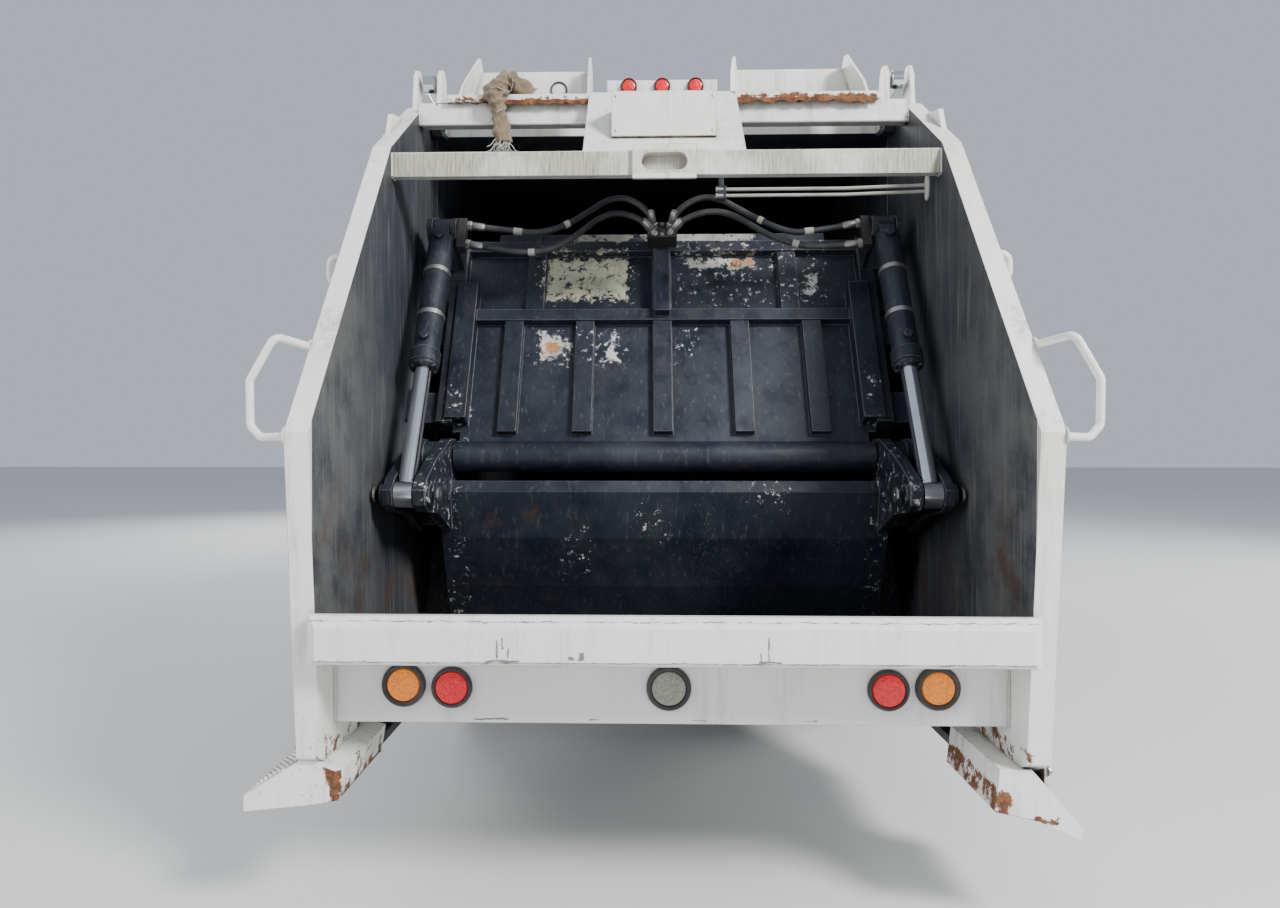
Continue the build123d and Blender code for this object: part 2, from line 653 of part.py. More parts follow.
def chassis_frame():
    """The ladder frame: two channel rails with cross members."""
    web_x = RAIL_OUTER_X - RAIL_THICK
    low = RAIL_TOP - RAIL_DEPTH
    length = (RAIL_REAR, CAB_FRONT - 80)
    channel = block((RAIL_OUTER_X - RAIL_FLANGE, RAIL_OUTER_X), length, (low, RAIL_TOP))
    hollow_x = (RAIL_OUTER_X - RAIL_FLANGE - 1, web_x)
    hollow = block(hollow_x, (length[0] - 1, length[1] + 1), (low + RAIL_THICK, RAIL_TOP - RAIL_THICK))
    rails = both_sides(channel - hollow)
    middle = sum(REAR_AXLES) / 2
    crossings = [RAIL_REAR, REAR_AXLES[0] - 350, middle, middle + 1190]
    crossings = crossings + [BODY_FRONT - 1050, BODY_FRONT - 150, length[1] - 80]
    for along in crossings:
        rails = rails + block((-web_x - 5, web_x + 5), (along, along + 80), (low + 30, low + 150))
    for along in (CAB_REAR + 20, CAB_REAR + 1000):
        foot = block((RAIL_OUTER_X, 560), (along, along + 80), (RAIL_TOP - 90, CAB_FLOOR))
        rails = rails + both_sides(foot)
    return rails


def tyre(centre_x):
    """One tyre: a square-shouldered section turned about its axle."""
    half = TYRE_WIDTH / 2
    tread = half * 0.86
    bead = RIM_WIDTH / 2 - RIM_LIP_WIDTH - SEAT_GAP
    right = [
        (bead, RIM_R + SEAT_GAP),
        (bead, RIM_R + RIM_LIP + SEAT_GAP),
        (half * 0.92, RIM_R + 45),
        (half, (RIM_R + TYRE_R) / 2),
        (half * 0.97, TYRE_R - 60),
        (tread + 6, TYRE_R - 24),
        (tread - 12, TYRE_R),
    ]
    left = [(-x, radius) for x, radius in reversed(right)]
    return Pos(centre_x, 0, 0) * revolve(make_face(Polyline(*right, *left, close=True)), Axis.X)


def disc_wheel(centre_x, disc_x):
    """One steel wheel: the rim ring at centre_x and a holed disc at disc_x."""
    half = RIM_WIDTH / 2
    rim_in = RIM_R - RIM_WALL
    lip = half - RIM_LIP_WIDTH
    section = [
        (-half, rim_in),
        (-half, RIM_R + RIM_LIP),
        (-lip, RIM_R + RIM_LIP),
        (-lip, RIM_R),
        (lip, RIM_R),
        (lip, RIM_R + RIM_LIP),
        (half, RIM_R + RIM_LIP),
        (half, rim_in),
    ]
    ring = Pos(centre_x, 0, 0) * revolve(make_face(Polyline(*section, close=True)), Axis.X)
    towards = 1 if disc_x > centre_x else -1
    edge_x = centre_x + towards * (half - 30)
    profile = [
        (disc_x, 100),
        (disc_x, 190),
        (edge_x, rim_in + 2),
        (edge_x - towards * 12, rim_in + 2),
        (disc_x - towards * 14, 190),
        (disc_x - towards * 14, 100),
    ]
    disc = revolve(make_face(Polyline(*profile, close=True)), Axis.X)
    for i in range(10):
        angle = math.radians(36 * i)
        place = (HAND_HOLE_RING * math.cos(angle), HAND_HOLE_RING * math.sin(angle))
        disc = disc - cross_rod(disc_x - 120, disc_x + 120, place, HAND_HOLE_R)
    return ring + disc


def front_wheel():
    """Tyre and wheel of the right front, about its own axle line."""
    disc_x = FRONT_WHEEL_X + 60
    hub = cross_rod(1012, disc_x + 60, (0, 0), 112) + cross_rod(disc_x + 60, disc_x + 85, (0, 0), 70)
    drum = cross_rod(935, 1014, (0, 0), 205) - cross_rod(930, 1000, (0, 0), 190)
    spindle_hole = cross_rod(900, 1100, (0, 0), FRONT_SPINDLE_R + PIN_PLAY)
    return tyre(FRONT_WHEEL_X), disc_wheel(FRONT_WHEEL_X, disc_x) + hub + drum - spindle_hole


def twin_wheels():
    """Both tyres and wheels of one side of a driven axle, about its own axle line."""
    inner = REAR_TRACK_X - TWIN_PITCH / 2
    outer = REAR_TRACK_X + TWIN_PITCH / 2
    tyres = tyre(inner) + tyre(outer)
    wheels = disc_wheel(inner, REAR_TRACK_X) + disc_wheel(outer, REAR_TRACK_X + 14)
    hub = cross_rod(REAR_TRACK_X - 60, REAR_TRACK_X + 190, (0, 0), 112)
    drum = cross_rod(660, REAR_TRACK_X - 58, (0, 0), 205) - cross_rod(650, REAR_TRACK_X - 80, (0, 0), 190)
    bore = cross_rod(600, REAR_TRACK_X + 120, (0, 0), REAR_SPINDLE_R + PIN_PLAY)
    return tyres, wheels + hub + drum - bore


def front_axle():
    """The dropped front beam with its spring pads and steering fork ends."""
    beam = block((-700, 700), (-45, 45), (360, 450))
    end_outline = [(650, 380), (650, 450), (760, 560), (KINGPIN_X - 45, 560), (KINGPIN_X - 45, 470), (800, 470)]
    end = rear_plate(end_outline, -45, 45)
    boss = rod((KINGPIN_X, 0, 470), (KINGPIN_X, 0, 580), 50)
    pads = block((340, 430), (-60, 60), (440, 480))
    tie = block((KINGPIN_X - 50, KINGPIN_X - 10), (-40, 40), (480, 560))
    axle = beam + both_sides(end + boss + pads + tie)
    axle = axle - both_sides(rod((KINGPIN_X, 0, 400), (KINGPIN_X, 0, 650), 25 + PIN_PLAY))
    return Pos(0, FRONT_AXLE, 0) * axle


def knuckle():
    """The right steering knuckle: fork, kingpin, spindle and steering arm."""
    pin = rod((KINGPIN_X, 0, 440), (KINGPIN_X, 0, 610), 25)
    upper = block((KINGPIN_X - 40, KINGPIN_X + 50), (-42, 42), (582, 620))
    lower = block((KINGPIN_X - 40, KINGPIN_X + 50), (-42, 42), (STEER_ARM_Z, 468))
    back = block((KINGPIN_X + 51, KINGPIN_X + 75), (-60, 60), (STEER_ARM_Z, 620))
    upper_tie = block((KINGPIN_X + 40, KINGPIN_X + 52), (-42, 42), (582, 620))
    lower_tie = block((KINGPIN_X + 40, KINGPIN_X + 52), (-42, 42), (STEER_ARM_Z, 468))
    spindle = cross_rod(KINGPIN_X + 74, 1095, (0, TYRE_R), FRONT_SPINDLE_R)
    arm = block((KINGPIN_X - 28, KINGPIN_X + 28), (-TIE_ROD_BACK - 28, -40), (STEER_ARM_Z, STEER_ARM_Z + 24))
    return Pos(0, FRONT_AXLE, 0) * (pin + upper + lower + back + upper_tie + lower_tie + spindle + arm)


def tie_rod():
    """The rod that joins the steering arms, with a ball end under each."""
    at = (FRONT_AXLE - TIE_ROD_BACK, TIE_ROD_Z)
    bar = cross_rod(-KINGPIN_X, KINGPIN_X, at, TIE_ROD_R)
    ends = rod((KINGPIN_X, at[0], TIE_ROD_Z - TIE_ROD_R), (KINGPIN_X, at[0], STEER_ARM_Z - SEAT_GAP), 26)
    return bar + both_sides(ends)


def rear_axles():
    """Both driven axle housings and the shafts that drive them."""
    shapes = []
    for along in REAR_AXLES:
        housing = cross_rod(-1020, 1020, (along, TYRE_R), REAR_SPINDLE_R)
        housing = housing + cross_rod(-640, 640, (along, TYRE_R), 75)
        bowl = rod((0, along - 150, TYRE_R), (0, along + 190, TYRE_R), 190)
        pads = block((352, 430), (along - 60, along + 60), (TYRE_R + 40, TYRE_R + 75))
        chamber = rod((CHAMBER_X, along - 110, TYRE_R - 20), (CHAMBER_X, along - 260, TYRE_R - 20), CHAMBER_R)
        arm = block((CHAMBER_X - 25, CHAMBER_X + 25), (along - 115, along), (TYRE_R - 50, TYRE_R + 10))
        shapes.append(housing + bowl + both_sides(pads + chamber + arm))
    shapes.append(rod((0, REAR_AXLES[0] + 189, TYRE_R + 20), (0, REAR_AXLES[1] - 149, TYRE_R + 20), 45))
    shapes.append(rod((0, REAR_AXLES[1] + 189, TYRE_R + 40), (0, CAB_REAR - 60, 760), 50))
    return fused(shapes)


def suspension():
    """Leaf springs: one stack on each side at the front and at the tandem, with their hangers."""
    low = RAIL_TOP - RAIL_DEPTH
    shapes = []
    middle = sum(REAR_AXLES) / 2
    x = (352, 430)
    top = TYRE_R + 75
    rear = side_plate(
        [
            (REAR_AXLES[0] - 90, top),
            (REAR_AXLES[0] - 90, top + 40),
            (middle - 130, top + 125),
            (middle + 130, top + 125),
            (REAR_AXLES[1] + 90, top + 40),
            (REAR_AXLES[1] + 90, top),
            (REAR_AXLES[1] - 90, top),
            (middle + 160, top + 40),
            (middle - 160, top + 40),
            (REAR_AXLES[0] + 90, top),
        ],
        *x,
    )
    hanger = [(middle - 120, top - 80), (middle - 180, low), (middle + 180, low), (middle + 120, top - 80)]
    saddle = side_plate(hanger, x[0] - 12, x[0])
    cap = side_plate(hanger, x[1], x[1] + 12)
    shapes.append(rear + saddle + cap)
    front_low = 480
    front = side_plate(
        [
            (FRONT_AXLE - 700, low - 80),
            (FRONT_AXLE - 700, low - 40),
            (FRONT_AXLE, front_low + 110),
            (FRONT_AXLE + 700, low - 40),
            (FRONT_AXLE + 700, low - 80),
            (FRONT_AXLE + 100, front_low),
            (FRONT_AXLE - 100, front_low),
        ],
        *x,
    )
    for along in (FRONT_AXLE - 720, FRONT_AXLE + 680):
        front = front + block((x[0] + 10, x[1] - 10), (along, along + 50), (low - 90, low))
    shapes.append(front)
    return both_sides(shapes[0]) + both_sides(shapes[1])


def cab_solid(inset):
    """The cab's outer form, or its hollow where it is inset: side, front and plan outlines met together."""
    rear = CAB_REAR + inset
    front = CAB_FRONT - inset
    low = CAB_FLOOR + inset
    high = CAB_ROOF - inset
    half = CAB_HALF - inset
    side_outline = [
        (rear, low),
        (rear, high - 90),
        (rear + 90, high),
        (front - 330, high),
        (front - 170, high - 110),
        (front, low + 520),
        (front, low),
    ]
    across_right = [(half, low), (half, high - 420), (half - 45, high - 130), (half - 170, high)]
    plan_right = [(half, rear), (half, front - 190), (half - 60, front - 70), (half - 190, front)]
    side = side_plate(side_outline, -half, half)
    across = rear_plate(across_right + [(-x, z) for x, z in reversed(across_right)], rear - 1, front + 1)
    plan = plan_plate(plan_right + [(-x, along) for x, along in reversed(plan_right)], low - 1, high + 1)
    return side & across & plan


def door_prism(side, gap):
    """The space of one door, on side 1 or -1, less a running gap all round."""
    x = sorted((side * 900, side * (CAB_HALF + 20)))
    return side_plate(
        [
            (DOOR_REAR + gap, DOOR_LOW + gap),
            (DOOR_REAR + gap, DOOR_TOP - gap),
            (DOOR_FRONT - 150 - gap, DOOR_TOP - gap),
            (DOOR_FRONT - gap, WAIST),
            (DOOR_FRONT - gap, DOOR_LOW + gap),
        ],
        *x,
    )


def window_prism(side, inset):
    x = sorted((side * 900, side * (CAB_HALF + 20)))
    return side_plate(
        [
            (DOOR_REAR + 90 + inset, WAIST + 20 + inset),
            (DOOR_REAR + 90 + inset, DOOR_TOP - 90 - inset),
            (DOOR_FRONT - 210 - inset, DOOR_TOP - 90 - inset),
            (DOOR_FRONT - 100 - inset, WAIST + 80 + inset),
            (DOOR_FRONT - 100 - inset, WAIST + 20 + inset),
        ],
        *x,
    )


def windscreen_prism(inset):
    low = WAIST + inset
    high = SCREEN_TOP - inset
    right = [(CAB_HALF - 175 - inset, low), (CAB_HALF - 215 - inset, high)]
    return rear_plate(right + [(-x, z) for x, z in reversed(right)], CAB_FRONT - 400, CAB_FRONT + 10)


def rear_window_prism(inset):
    half = 600 - inset
    low = WAIST + 200 + inset
    high = SCREEN_TOP - 90 - inset
    return rear_plate([(-half, low), (-half, high), (half, high), (half, low)], CAB_REAR - 10, CAB_REAR + 200)


def hinge_knuckles(on_door):
    """The round knuckles of the right door's hinges: the middle ones on the door, the others on the pillar."""
    x, along = DOOR_HINGE
    shapes = []
    for low in (WAIST - 400, WAIST - 140):
        if on_door:
            leaf = block((x - 25, x + 6), (along - 31, along - 7), (low, low + 60))
            shapes.append(rod((x, along, low), (x, along, low + 60), DOOR_HINGE_R) + leaf)
        else:
            for foot in (low - 20 - SEAT_GAP, low + 60 + SEAT_GAP):
                leaf = block((x - 35, x), (along + 5, along + 30), (foot, foot + 20))
                shapes.append(rod((x, along, foot), (x, along, foot + 20), DOOR_HINGE_R) + leaf)
    return shapes


def cab_parts():
    """The cab's front, rear wall, roof and floor, its fixed glass, and a door and its glass for each side."""
    skin = cab_solid(0) - cab_solid(CAB_WALL)
    pane = cab_solid(22) - cab_solid(30)
    floor_top = CAB_FLOOR + CAB_WALL
    everywhere = (-CAB_HALF, CAB_HALF)
    inner_rear = CAB_REAR + CAB_WALL
    roof = skin & block(everywhere, (CAB_REAR, CAB_FRONT), (ROOF_SEAM, CAB_ROOF))
    back = (skin & block(everywhere, (CAB_REAR, inner_rear), (floor_top, ROOF_SEAM))) - rear_window_prism(0)
    shell = (skin & block(everywhere, (inner_rear, CAB_FRONT), (floor_top, ROOF_SEAM))) - windscreen_prism(0)
    for side in (-1, 1):
        shell = shell - door_prism(side, 0)
    shell = shell + both_sides(fused(hinge_knuckles(False)))
    tunnel = block((-420, 420), (CAB_REAR - 1, CAB_REAR + 1300), (CAB_FLOOR - 1, floor_top + 1))
    floor = (skin & block(everywhere, (CAB_REAR, CAB_FRONT), (CAB_FLOOR, floor_top))) - tunnel
    skirt_length = (CAB_FRONT - 610, CAB_FRONT - 60)
    skirt = block((660, 700), skirt_length, (560, CAB_FLOOR))
    for height in (560, 820):
        skirt = skirt + block((700, CAB_HALF - 60), skirt_length, (height, height + 40))
    nose = block((190 - CAB_HALF, CAB_HALF - 190), (CAB_FRONT - 60, CAB_FRONT), (880, CAB_FLOOR))
    nose = nose - block((-GRILLE_HALF, GRILLE_HALF), (CAB_FRONT - 61, CAB_FRONT + 1), (900, CAB_FLOOR - 20))
    floor = floor + both_sides(skirt) + nose
    glass = (pane & windscreen_prism(SEAT_GAP)) + (pane & rear_window_prism(SEAT_GAP))
    doors = []
    for side in (-1, 1):
        door = (skin & door_prism(side, DOOR_GAP)) - window_prism(side, 0)
        knuckles = fused(hinge_knuckles(True))
        door = door + (knuckles if side == 1 else mirror(knuckles, about=Plane.YZ))
        doors.append((door, pane & window_prism(side, SEAT_GAP)))
    return (shell, back, roof, floor), glass, doors


def cab_interior():
    """Dashboard, engine cover, steering wheel and column."""
    floor = CAB_FLOOR + CAB_WALL
    low = floor + 150
    front = CAB_FRONT - 100
    across = (-DASH_HALF, DASH_HALF)
    dash_outline = [
        (front - 400, WAIST - 140),
        (front - 330, WAIST),
        (front, WAIST - 10),
        (front, low),
        (front - 230, low),
    ]
    dash = side_plate(dash_outline, *across)
    leg = block(across, (front - 40, front), (floor, low + 1))
    cover = block((-440, 440), (CAB_REAR + 80, CAB_REAR + 1320), (floor, WAIST - 80))
    cover = cover - block((-410, 410), (CAB_REAR, CAB_REAR + 1290), (floor - 1, WAIST - 110))
    hub = (WHEEL_X, front - 600, WAIST + 50)
    plane = Plane(origin=hub, z_dir=(0, -260, 240))
    column = rod((WHEEL_X, front - 330, WAIST - 200), (WHEEL_X, hub[1] + 2, hub[2] - 2), 28)
    ring = plane * Torus(225, 16)
    spoke = plane * Box(440, 60, 20)
    return (dash + cover + column + ring + spoke + leg) & cab_solid(CAB_WALL + SEAT_GAP)


def seats():
    """Two seats on their pedestals."""
    rear = CAB_REAR + 460
    base = block((SEAT_X - 190, SEAT_X + 190), (rear + 40, rear + 490), (CAB_FLOOR + CAB_WALL, 1420))
    cushion = block((SEAT_X - 250, SEAT_X + 250), (rear, rear + 540), (1420, 1560))
    back_outline = [(rear, 1540), (rear - 100, 2150), (rear + 20, 2150), (rear + 130, 1560)]
    back = side_plate(back_outline, SEAT_X - 240, SEAT_X + 240)
    return both_sides(base + cushion + back)


def bumper():
    """The front bumper with its lamp recesses and stays, and a towing eye under each frame rail."""
    right = [(CAB_HALF, 560), (CAB_HALF, 840), (CAB_HALF - 45, 870)]
    bar = rear_plate(right + [(-x, z) for x, z in reversed(right)], CAB_FRONT + 5, OVERALL_LENGTH)
    recess = block((LAMP_X - 130, LAMP_X + 130), (OVERALL_LENGTH - 60, OVERALL_LENGTH + 1), (660, 790))
    along = (CAB_FRONT - 80, CAB_FRONT + 5)
    stay = block((RAIL_OUTER_X - 60, RAIL_OUTER_X - 20), along, (RAIL_TOP - RAIL_DEPTH, 850))
    along, height = TOW_EYE
    outline = [
        (along - 60, 561),
        (along - 45, height - 20),
        (along - 20, height - 45),
        (along + 20, height - 45),
        (along + 45, height - 20),
        (along + 50, 561),
    ]
    lug = side_plate(outline, TOW_X - TOW_THICK / 2, TOW_X + TOW_THICK / 2)
    lug = lug - cross_rod(TOW_X - TOW_THICK, TOW_X + TOW_THICK, TOW_EYE, TOW_HOLE_R)
    return (bar - both_sides(recess)) + both_sides(stay + lug)


def grille():
    along = CAB_FRONT - 40
    heights = (915, 955, 995, 1035, 1070)
    bars = [block((-GRILLE_HALF, GRILLE_HALF), (along, along + 30), (z, z + 14)) for z in heights]
    posts = []
    for x in (-500, -250, 0, 250, 500):
        posts.append(block((x - 8, x + 8), (along - 5, along + 10), (901, CAB_FLOOR - 21)))
    return fused(bars + posts)


def headlamps():
    along = (OVERALL_LENGTH - 60, OVERALL_LENGTH - 12)
    return both_sides(block((LAMP_X - 129, LAMP_X + 129), along, (661, 789)))


def mirrors():
    """Two arm mirrors at the cab's front corners, each with a tall and a round head."""
    x = CAB_HALF + 145
    inner = CAB_HALF - 115
    along = CAB_FRONT + 40
    low = WAIST + 150
    high = SCREEN_TOP - 60
    arm_low = rod((inner, along - 100, low), (x - 4, along - 2, low), 12)
    arm_high = rod((inner, along - 220, high), (x - 4, along - 4, high), 12)
    post = rod((x, along, low - 70), (x, along, high + 40), 16)
    head = block((x - 110, x + 110), (along + 14, along + 70), (low + 130, high - 40))
    clip = block((x - 20, x + 20), (along, along + 20), (low + 250, low + 350))
    round_head = rod((x, along + 14, low + 20), (x, along + 54, low + 20), 85)
    low_clip = block((x - 15, x + 15), (along, along + 16), (low - 10, low + 50))
    return both_sides((post + arm_low + arm_high + head + clip + round_head + low_clip) - cab_solid(0))


def fuel_tank():
    """The round fuel tank on its two straps and brackets."""
    x = -(RAIL_OUTER_X + 379)
    length = (BODY_FRONT - 1850, BODY_FRONT - 650)
    shape = rod((x, length[0], 790), (x, length[1], 790), 290)
    for along in (length[0] + 200, length[1] - 260):
        shape = shape + rod((x, along, 790), (x, along + 60, 790), 296)
        shape = shape + block((x + 270, -RAIL_OUTER_X), (along, along + 60), (820, 1030))
    return shape


def hydraulic_tank():
    front = BODY_FRONT - 850
    tank = block((RAIL_OUTER_X + 169, RAIL_OUTER_X + 689), (front - 900, front), (620, 1080))
    shelf = block((RAIL_OUTER_X, RAIL_OUTER_X + 170), (front - 800, front - 100), (800, 860))
    return tank + shelf


def exhaust_stack():
    x = RAIL_OUTER_X + 129
    along = CAB_REAR - 125
    pipe = rod((x, along, 860), (x, along, CAB_ROOF + 260), 62)
    pipe = pipe + rod((x, along, 1300), (x, along, CAB_ROOF - 290), 95)
    foot = block((RAIL_OUTER_X, x), (along - 40, along + 40), (870, 930))
    return pipe + foot


def engine():
    """The engine as one plain block on its four feet."""
    low = RAIL_TOP - RAIL_DEPTH + RAIL_THICK
    whole = block((-330, 330), (CAB_REAR + 100, CAB_REAR + 1200), (800, 1560))
    for along in (CAB_REAR + 200, CAB_REAR + 1020):
        whole = whole + both_sides(block((329, RAIL_OUTER_X - RAIL_THICK), (along, along + 80), (low, low + 70)))
    return whole


def mudguards():
    """Round guards over the twin wheels, hung under the floor, with a flap behind the last pair."""
    x = (620, HALF_WIDTH - 14)
    outer = GUARD_R + GUARD_THICK
    floor_low = FLOOR_TOP - FLOOR_THICK
    guards = []
    for along in REAR_AXLES:
        at = (along, TYRE_R)
        low = TYRE_R + 255
        sector = [at, (along - 700, low), (along - 700, 1200), (along + 700, 1200), (along + 700, low)]
        arch = cross_rod(*x, at, outer) - cross_rod(*x, at, GUARD_R)
        hanger = block((x[0], x[0] + 40), (along - 20, along + 20), (TYRE_R + outer - 3, floor_low))
        guards.append((arch & side_plate(sector, *x)) + hanger)
    flap_along = REAR_AXLES[0] - outer * math.cos(math.atan2(255, 700))
    flap = block((x[0] + 10, x[1] - 15), (flap_along - 5, flap_along + 5), (300, TYRE_R + 235))
    return both_sides(guards[0] + flap) + both_sides(guards[1])


def packer_hoses():
    """The slide's manifold and the four hydraulic hoses from it to the blocks by the sweep cylinders' bases."""
    port = POST_BACK + 80
    manifold = packer_box((-70, 70), (1060, 1150), (POST_BACK, port))
    wall_x = SWEEP_X - EYE_HALF - 32
    blocks = packer_box((wall_x - 40, wall_x), (900, 1065), (275, 325))
    end = wall_x - 40
    routes = [
        [
            (-end, 1040, 300), (-724, 1013, 300), (-607, 994, 300), (-516, 1005, 300), (-426, 1051, 298),
            (-336, 1125, 294), (-262, 1195, 288), (-180, 1222, 280), (-100, 1190, 262), (-48, 1135, 236),
            (-40, 1118, port),
        ],
        [
            (-end, 935, 300), (-715, 892, 300), (-601, 880, 300), (-511, 896, 300), (-422, 953, 298),
            (-356, 1022, 295), (-290, 1090, 290), (-215, 1130, 280), (-140, 1125, 262), (-75, 1100, 236),
            (-40, 1082, port),
        ],
        [
            (end, 1040, 300), (646, 985, 300), (556, 997, 300), (447, 1062, 298), (350, 1135, 294),
            (270, 1200, 288), (190, 1222, 280), (105, 1190, 262), (50, 1135, 236), (40, 1118, port),
        ],
        [
            (end, 925, 300), (707, 899, 300), (574, 928, 300), (465, 985, 298), (380, 1060, 295),
            (300, 1115, 290), (220, 1135, 280), (140, 1125, 262), (75, 1100, 236), (40, 1082, port),
        ],
    ]
    shape = manifold + both_sides(blocks)
    for route in routes:
        points = [(x, *packer_at(up, back)) for x, up, back in route]
        path = Spline(*points)
        shape = shape + sweep(Plane(origin=path @ 0, z_dir=path % 0) * Circle(HOSE_R), path=path)
    return shape


def save(name, shape):
    export_step(Pos(0, -OVERALL_LENGTH / 2, 0) * shape, f"parts/{name}.step")


def main():
    os.makedirs("parts", exist_ok=True)
    save("tailgate_sides", both_sides(tail_side()))
    save("hopper_floor", hopper_floor())
    save("hopper_sill", hopper_sill())
    save("tail_frame", tail_frame())
    red = round_lamps([(-736, 798, LAMP_PANEL_FACE), (736, 798, LAMP_PANEL_FACE)], 70)
    small = round_lamps([(x, 3311, LAMP_BAR_FACE) for x in (-157, 0, 157)], 32)
    save("lamps_red", red + small)
    save("lamps_amber", round_lamps([(-900, 806, LAMP_PANEL_FACE), (900, 806, LAMP_PANEL_FACE)], 70))
    save("lamp_clear", round_lamps([(0, 800, LAMP_PANEL_FACE)], 75))
    save("riding_steps", riding_steps())
    save("grab_rails", grab_rails())
    barrels, rods = slide_cylinders()
    save("slide_barrels", barrels)
    save("slide_rods", rods)
    save("packer_slide", packer_slide())
    save("sweep_blade", sweep_blade())
    barrels, rods = sweep_cylinders()
    save("sweep_barrels", barrels)
    save("sweep_rods", rods)
    barrels, rods = lift_cylinders()
    save("lift_barrels", barrels)
    save("lift_rods", rods)
    save("packer_hoses", packer_hoses())
    save("body_shell", body_shell())
    save("ejector_panel", ejector_panel())
    save("mudguards", mudguards())
    save("chassis_frame", chassis_frame())
    save("front_axle", front_axle())
    save("rear_axles", rear_axles())
    save("suspension", suspension())
    save("knuckle_right", knuckle())
    save("knuckle_left", mirror(knuckle(), about=Plane.YZ))
    save("tie_rod", tie_rod())
    axle_line = {"front": FRONT_AXLE, "middle": REAR_AXLES[1], "rear": REAR_AXLES[0]}
    pairs = {"front": front_wheel(), "middle": twin_wheels(), "rear": twin_wheels()}
    for place, along in axle_line.items():
        for side in ("right", "left"):
            for kind, shape in zip(("tyre", "wheel"), pairs[place]):
                turned = shape if side == "right" else mirror(shape, about=Plane.YZ)
                save(f"{kind}_{place}_{side}", Pos(0, along, TYRE_R) * turned)
    panels, glass, doors = cab_parts()
    for name, panel in zip(("cab_shell", "cab_back", "cab_roof", "cab_floor"), panels):
        save(name, panel)
    save("cab_glass", glass)
    for side, (door, pane) in zip(("left", "right"), doors):
        save(f"door_{side}", door)
        save(f"door_glass_{side}", pane)
    save("cab_interior", cab_interior())
    save("seats", seats())
    save("front_bumper", bumper())
    save("grille", grille())
    save("headlamps", headlamps())
    save("mirrors", mirrors())
    save("fuel_tank", fuel_tank())
    save("hydraulic_tank", hydraulic_tank())
    save("exhaust_stack", exhaust_stack())
    save("engine", engine())


main()
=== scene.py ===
import json
import random
from math import atan2, cos, pi, radians, sin, tau

import bmesh
import bpy
from mathutils import Matrix, Vector


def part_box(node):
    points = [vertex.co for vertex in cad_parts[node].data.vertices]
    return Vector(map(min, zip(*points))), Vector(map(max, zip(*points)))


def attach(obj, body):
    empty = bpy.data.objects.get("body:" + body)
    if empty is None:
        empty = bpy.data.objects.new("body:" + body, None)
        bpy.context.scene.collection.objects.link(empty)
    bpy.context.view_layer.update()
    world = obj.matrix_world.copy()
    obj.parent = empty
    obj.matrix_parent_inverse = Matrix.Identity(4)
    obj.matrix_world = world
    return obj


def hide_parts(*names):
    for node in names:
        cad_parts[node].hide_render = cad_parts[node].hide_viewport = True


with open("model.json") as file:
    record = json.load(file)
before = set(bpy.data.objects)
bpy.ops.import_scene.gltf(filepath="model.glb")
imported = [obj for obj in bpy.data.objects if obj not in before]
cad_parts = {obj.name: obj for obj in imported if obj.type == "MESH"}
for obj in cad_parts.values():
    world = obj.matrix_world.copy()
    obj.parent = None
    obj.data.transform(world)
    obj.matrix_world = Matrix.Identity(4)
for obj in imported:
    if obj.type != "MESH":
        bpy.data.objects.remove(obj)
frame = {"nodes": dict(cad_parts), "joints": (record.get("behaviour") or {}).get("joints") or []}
nodes = frame["nodes"]
joints = {joint["name"]: joint for joint in frame["joints"]}
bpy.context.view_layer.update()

# Metres throughout. "Along" runs forward from the sill's rear face, as in the part's source. "Up" and "back"
# follow the packer's slide from the blade's hinge: back points to the rear, square to the slide.
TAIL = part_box("hopper_sill")[0].y
UP = Vector(joints["packer_slide_up"]["axis"])
BACK = Vector((0, -UP.z, UP.y))
BLADE_HINGE = Vector(joints["blade_sweep"]["pos_m"])
X = Vector((1, 0, 0))
Y = Vector((0, 1, 0))
Z = Vector((0, 0, 1))
SIDES = ((-1, "left"), (1, "right"))
TURN = 6.28  # a full turn, as the textures' waves take it
# Places and sizes that match the CAD solids.
WALL_INNER_X = 1.140
WALL_FACE_X = 1.2185
LAMP_FACE = 0.268
WHEEL_Z = 0.525
TYRE_RADIUS = 0.525
TYRE_HALF = 0.140
RIM_RADIUS = 0.2995
SINGLE_X = 1.060
TWIN_X = (0.740, 1.080)
STUD_CIRCLE = 0.1675
FLANGE_CIRCLE = 0.090
BEAM_LOW, BEAM_HIGH = 2.742, 2.839
LIP_INNER, LIP_OUTER = 0.345, 0.98
SWEEP_X = 1.005
SWEEP_BARREL = 0.760
SLIDE_RIB_FACE = 0.0165
MIRROR_X = 1.320
SEAT_X, SEAT_REAR, SEAT_HALF = 0.750, 7.860, 0.228
LAMP_DEPTH = 0.022
PRISMS_A_METRE = 110
# How the seats' pads are swelled: voxel size, cloth pressure, and how far a point may move.
PAD_VOXEL, PAD_PRESSURE, PAD_REACH = 0.012, 4.0, 0.016


def at(x, along, z):
    return Vector((x, TAIL + along, z))


def packer(x, up, back):
    return Vector((x, BLADE_HINGE.y, BLADE_HINGE.z)) + UP * up + BACK * back


def spoke(side, other, angle):
    return side * cos(angle) + other * sin(angle)


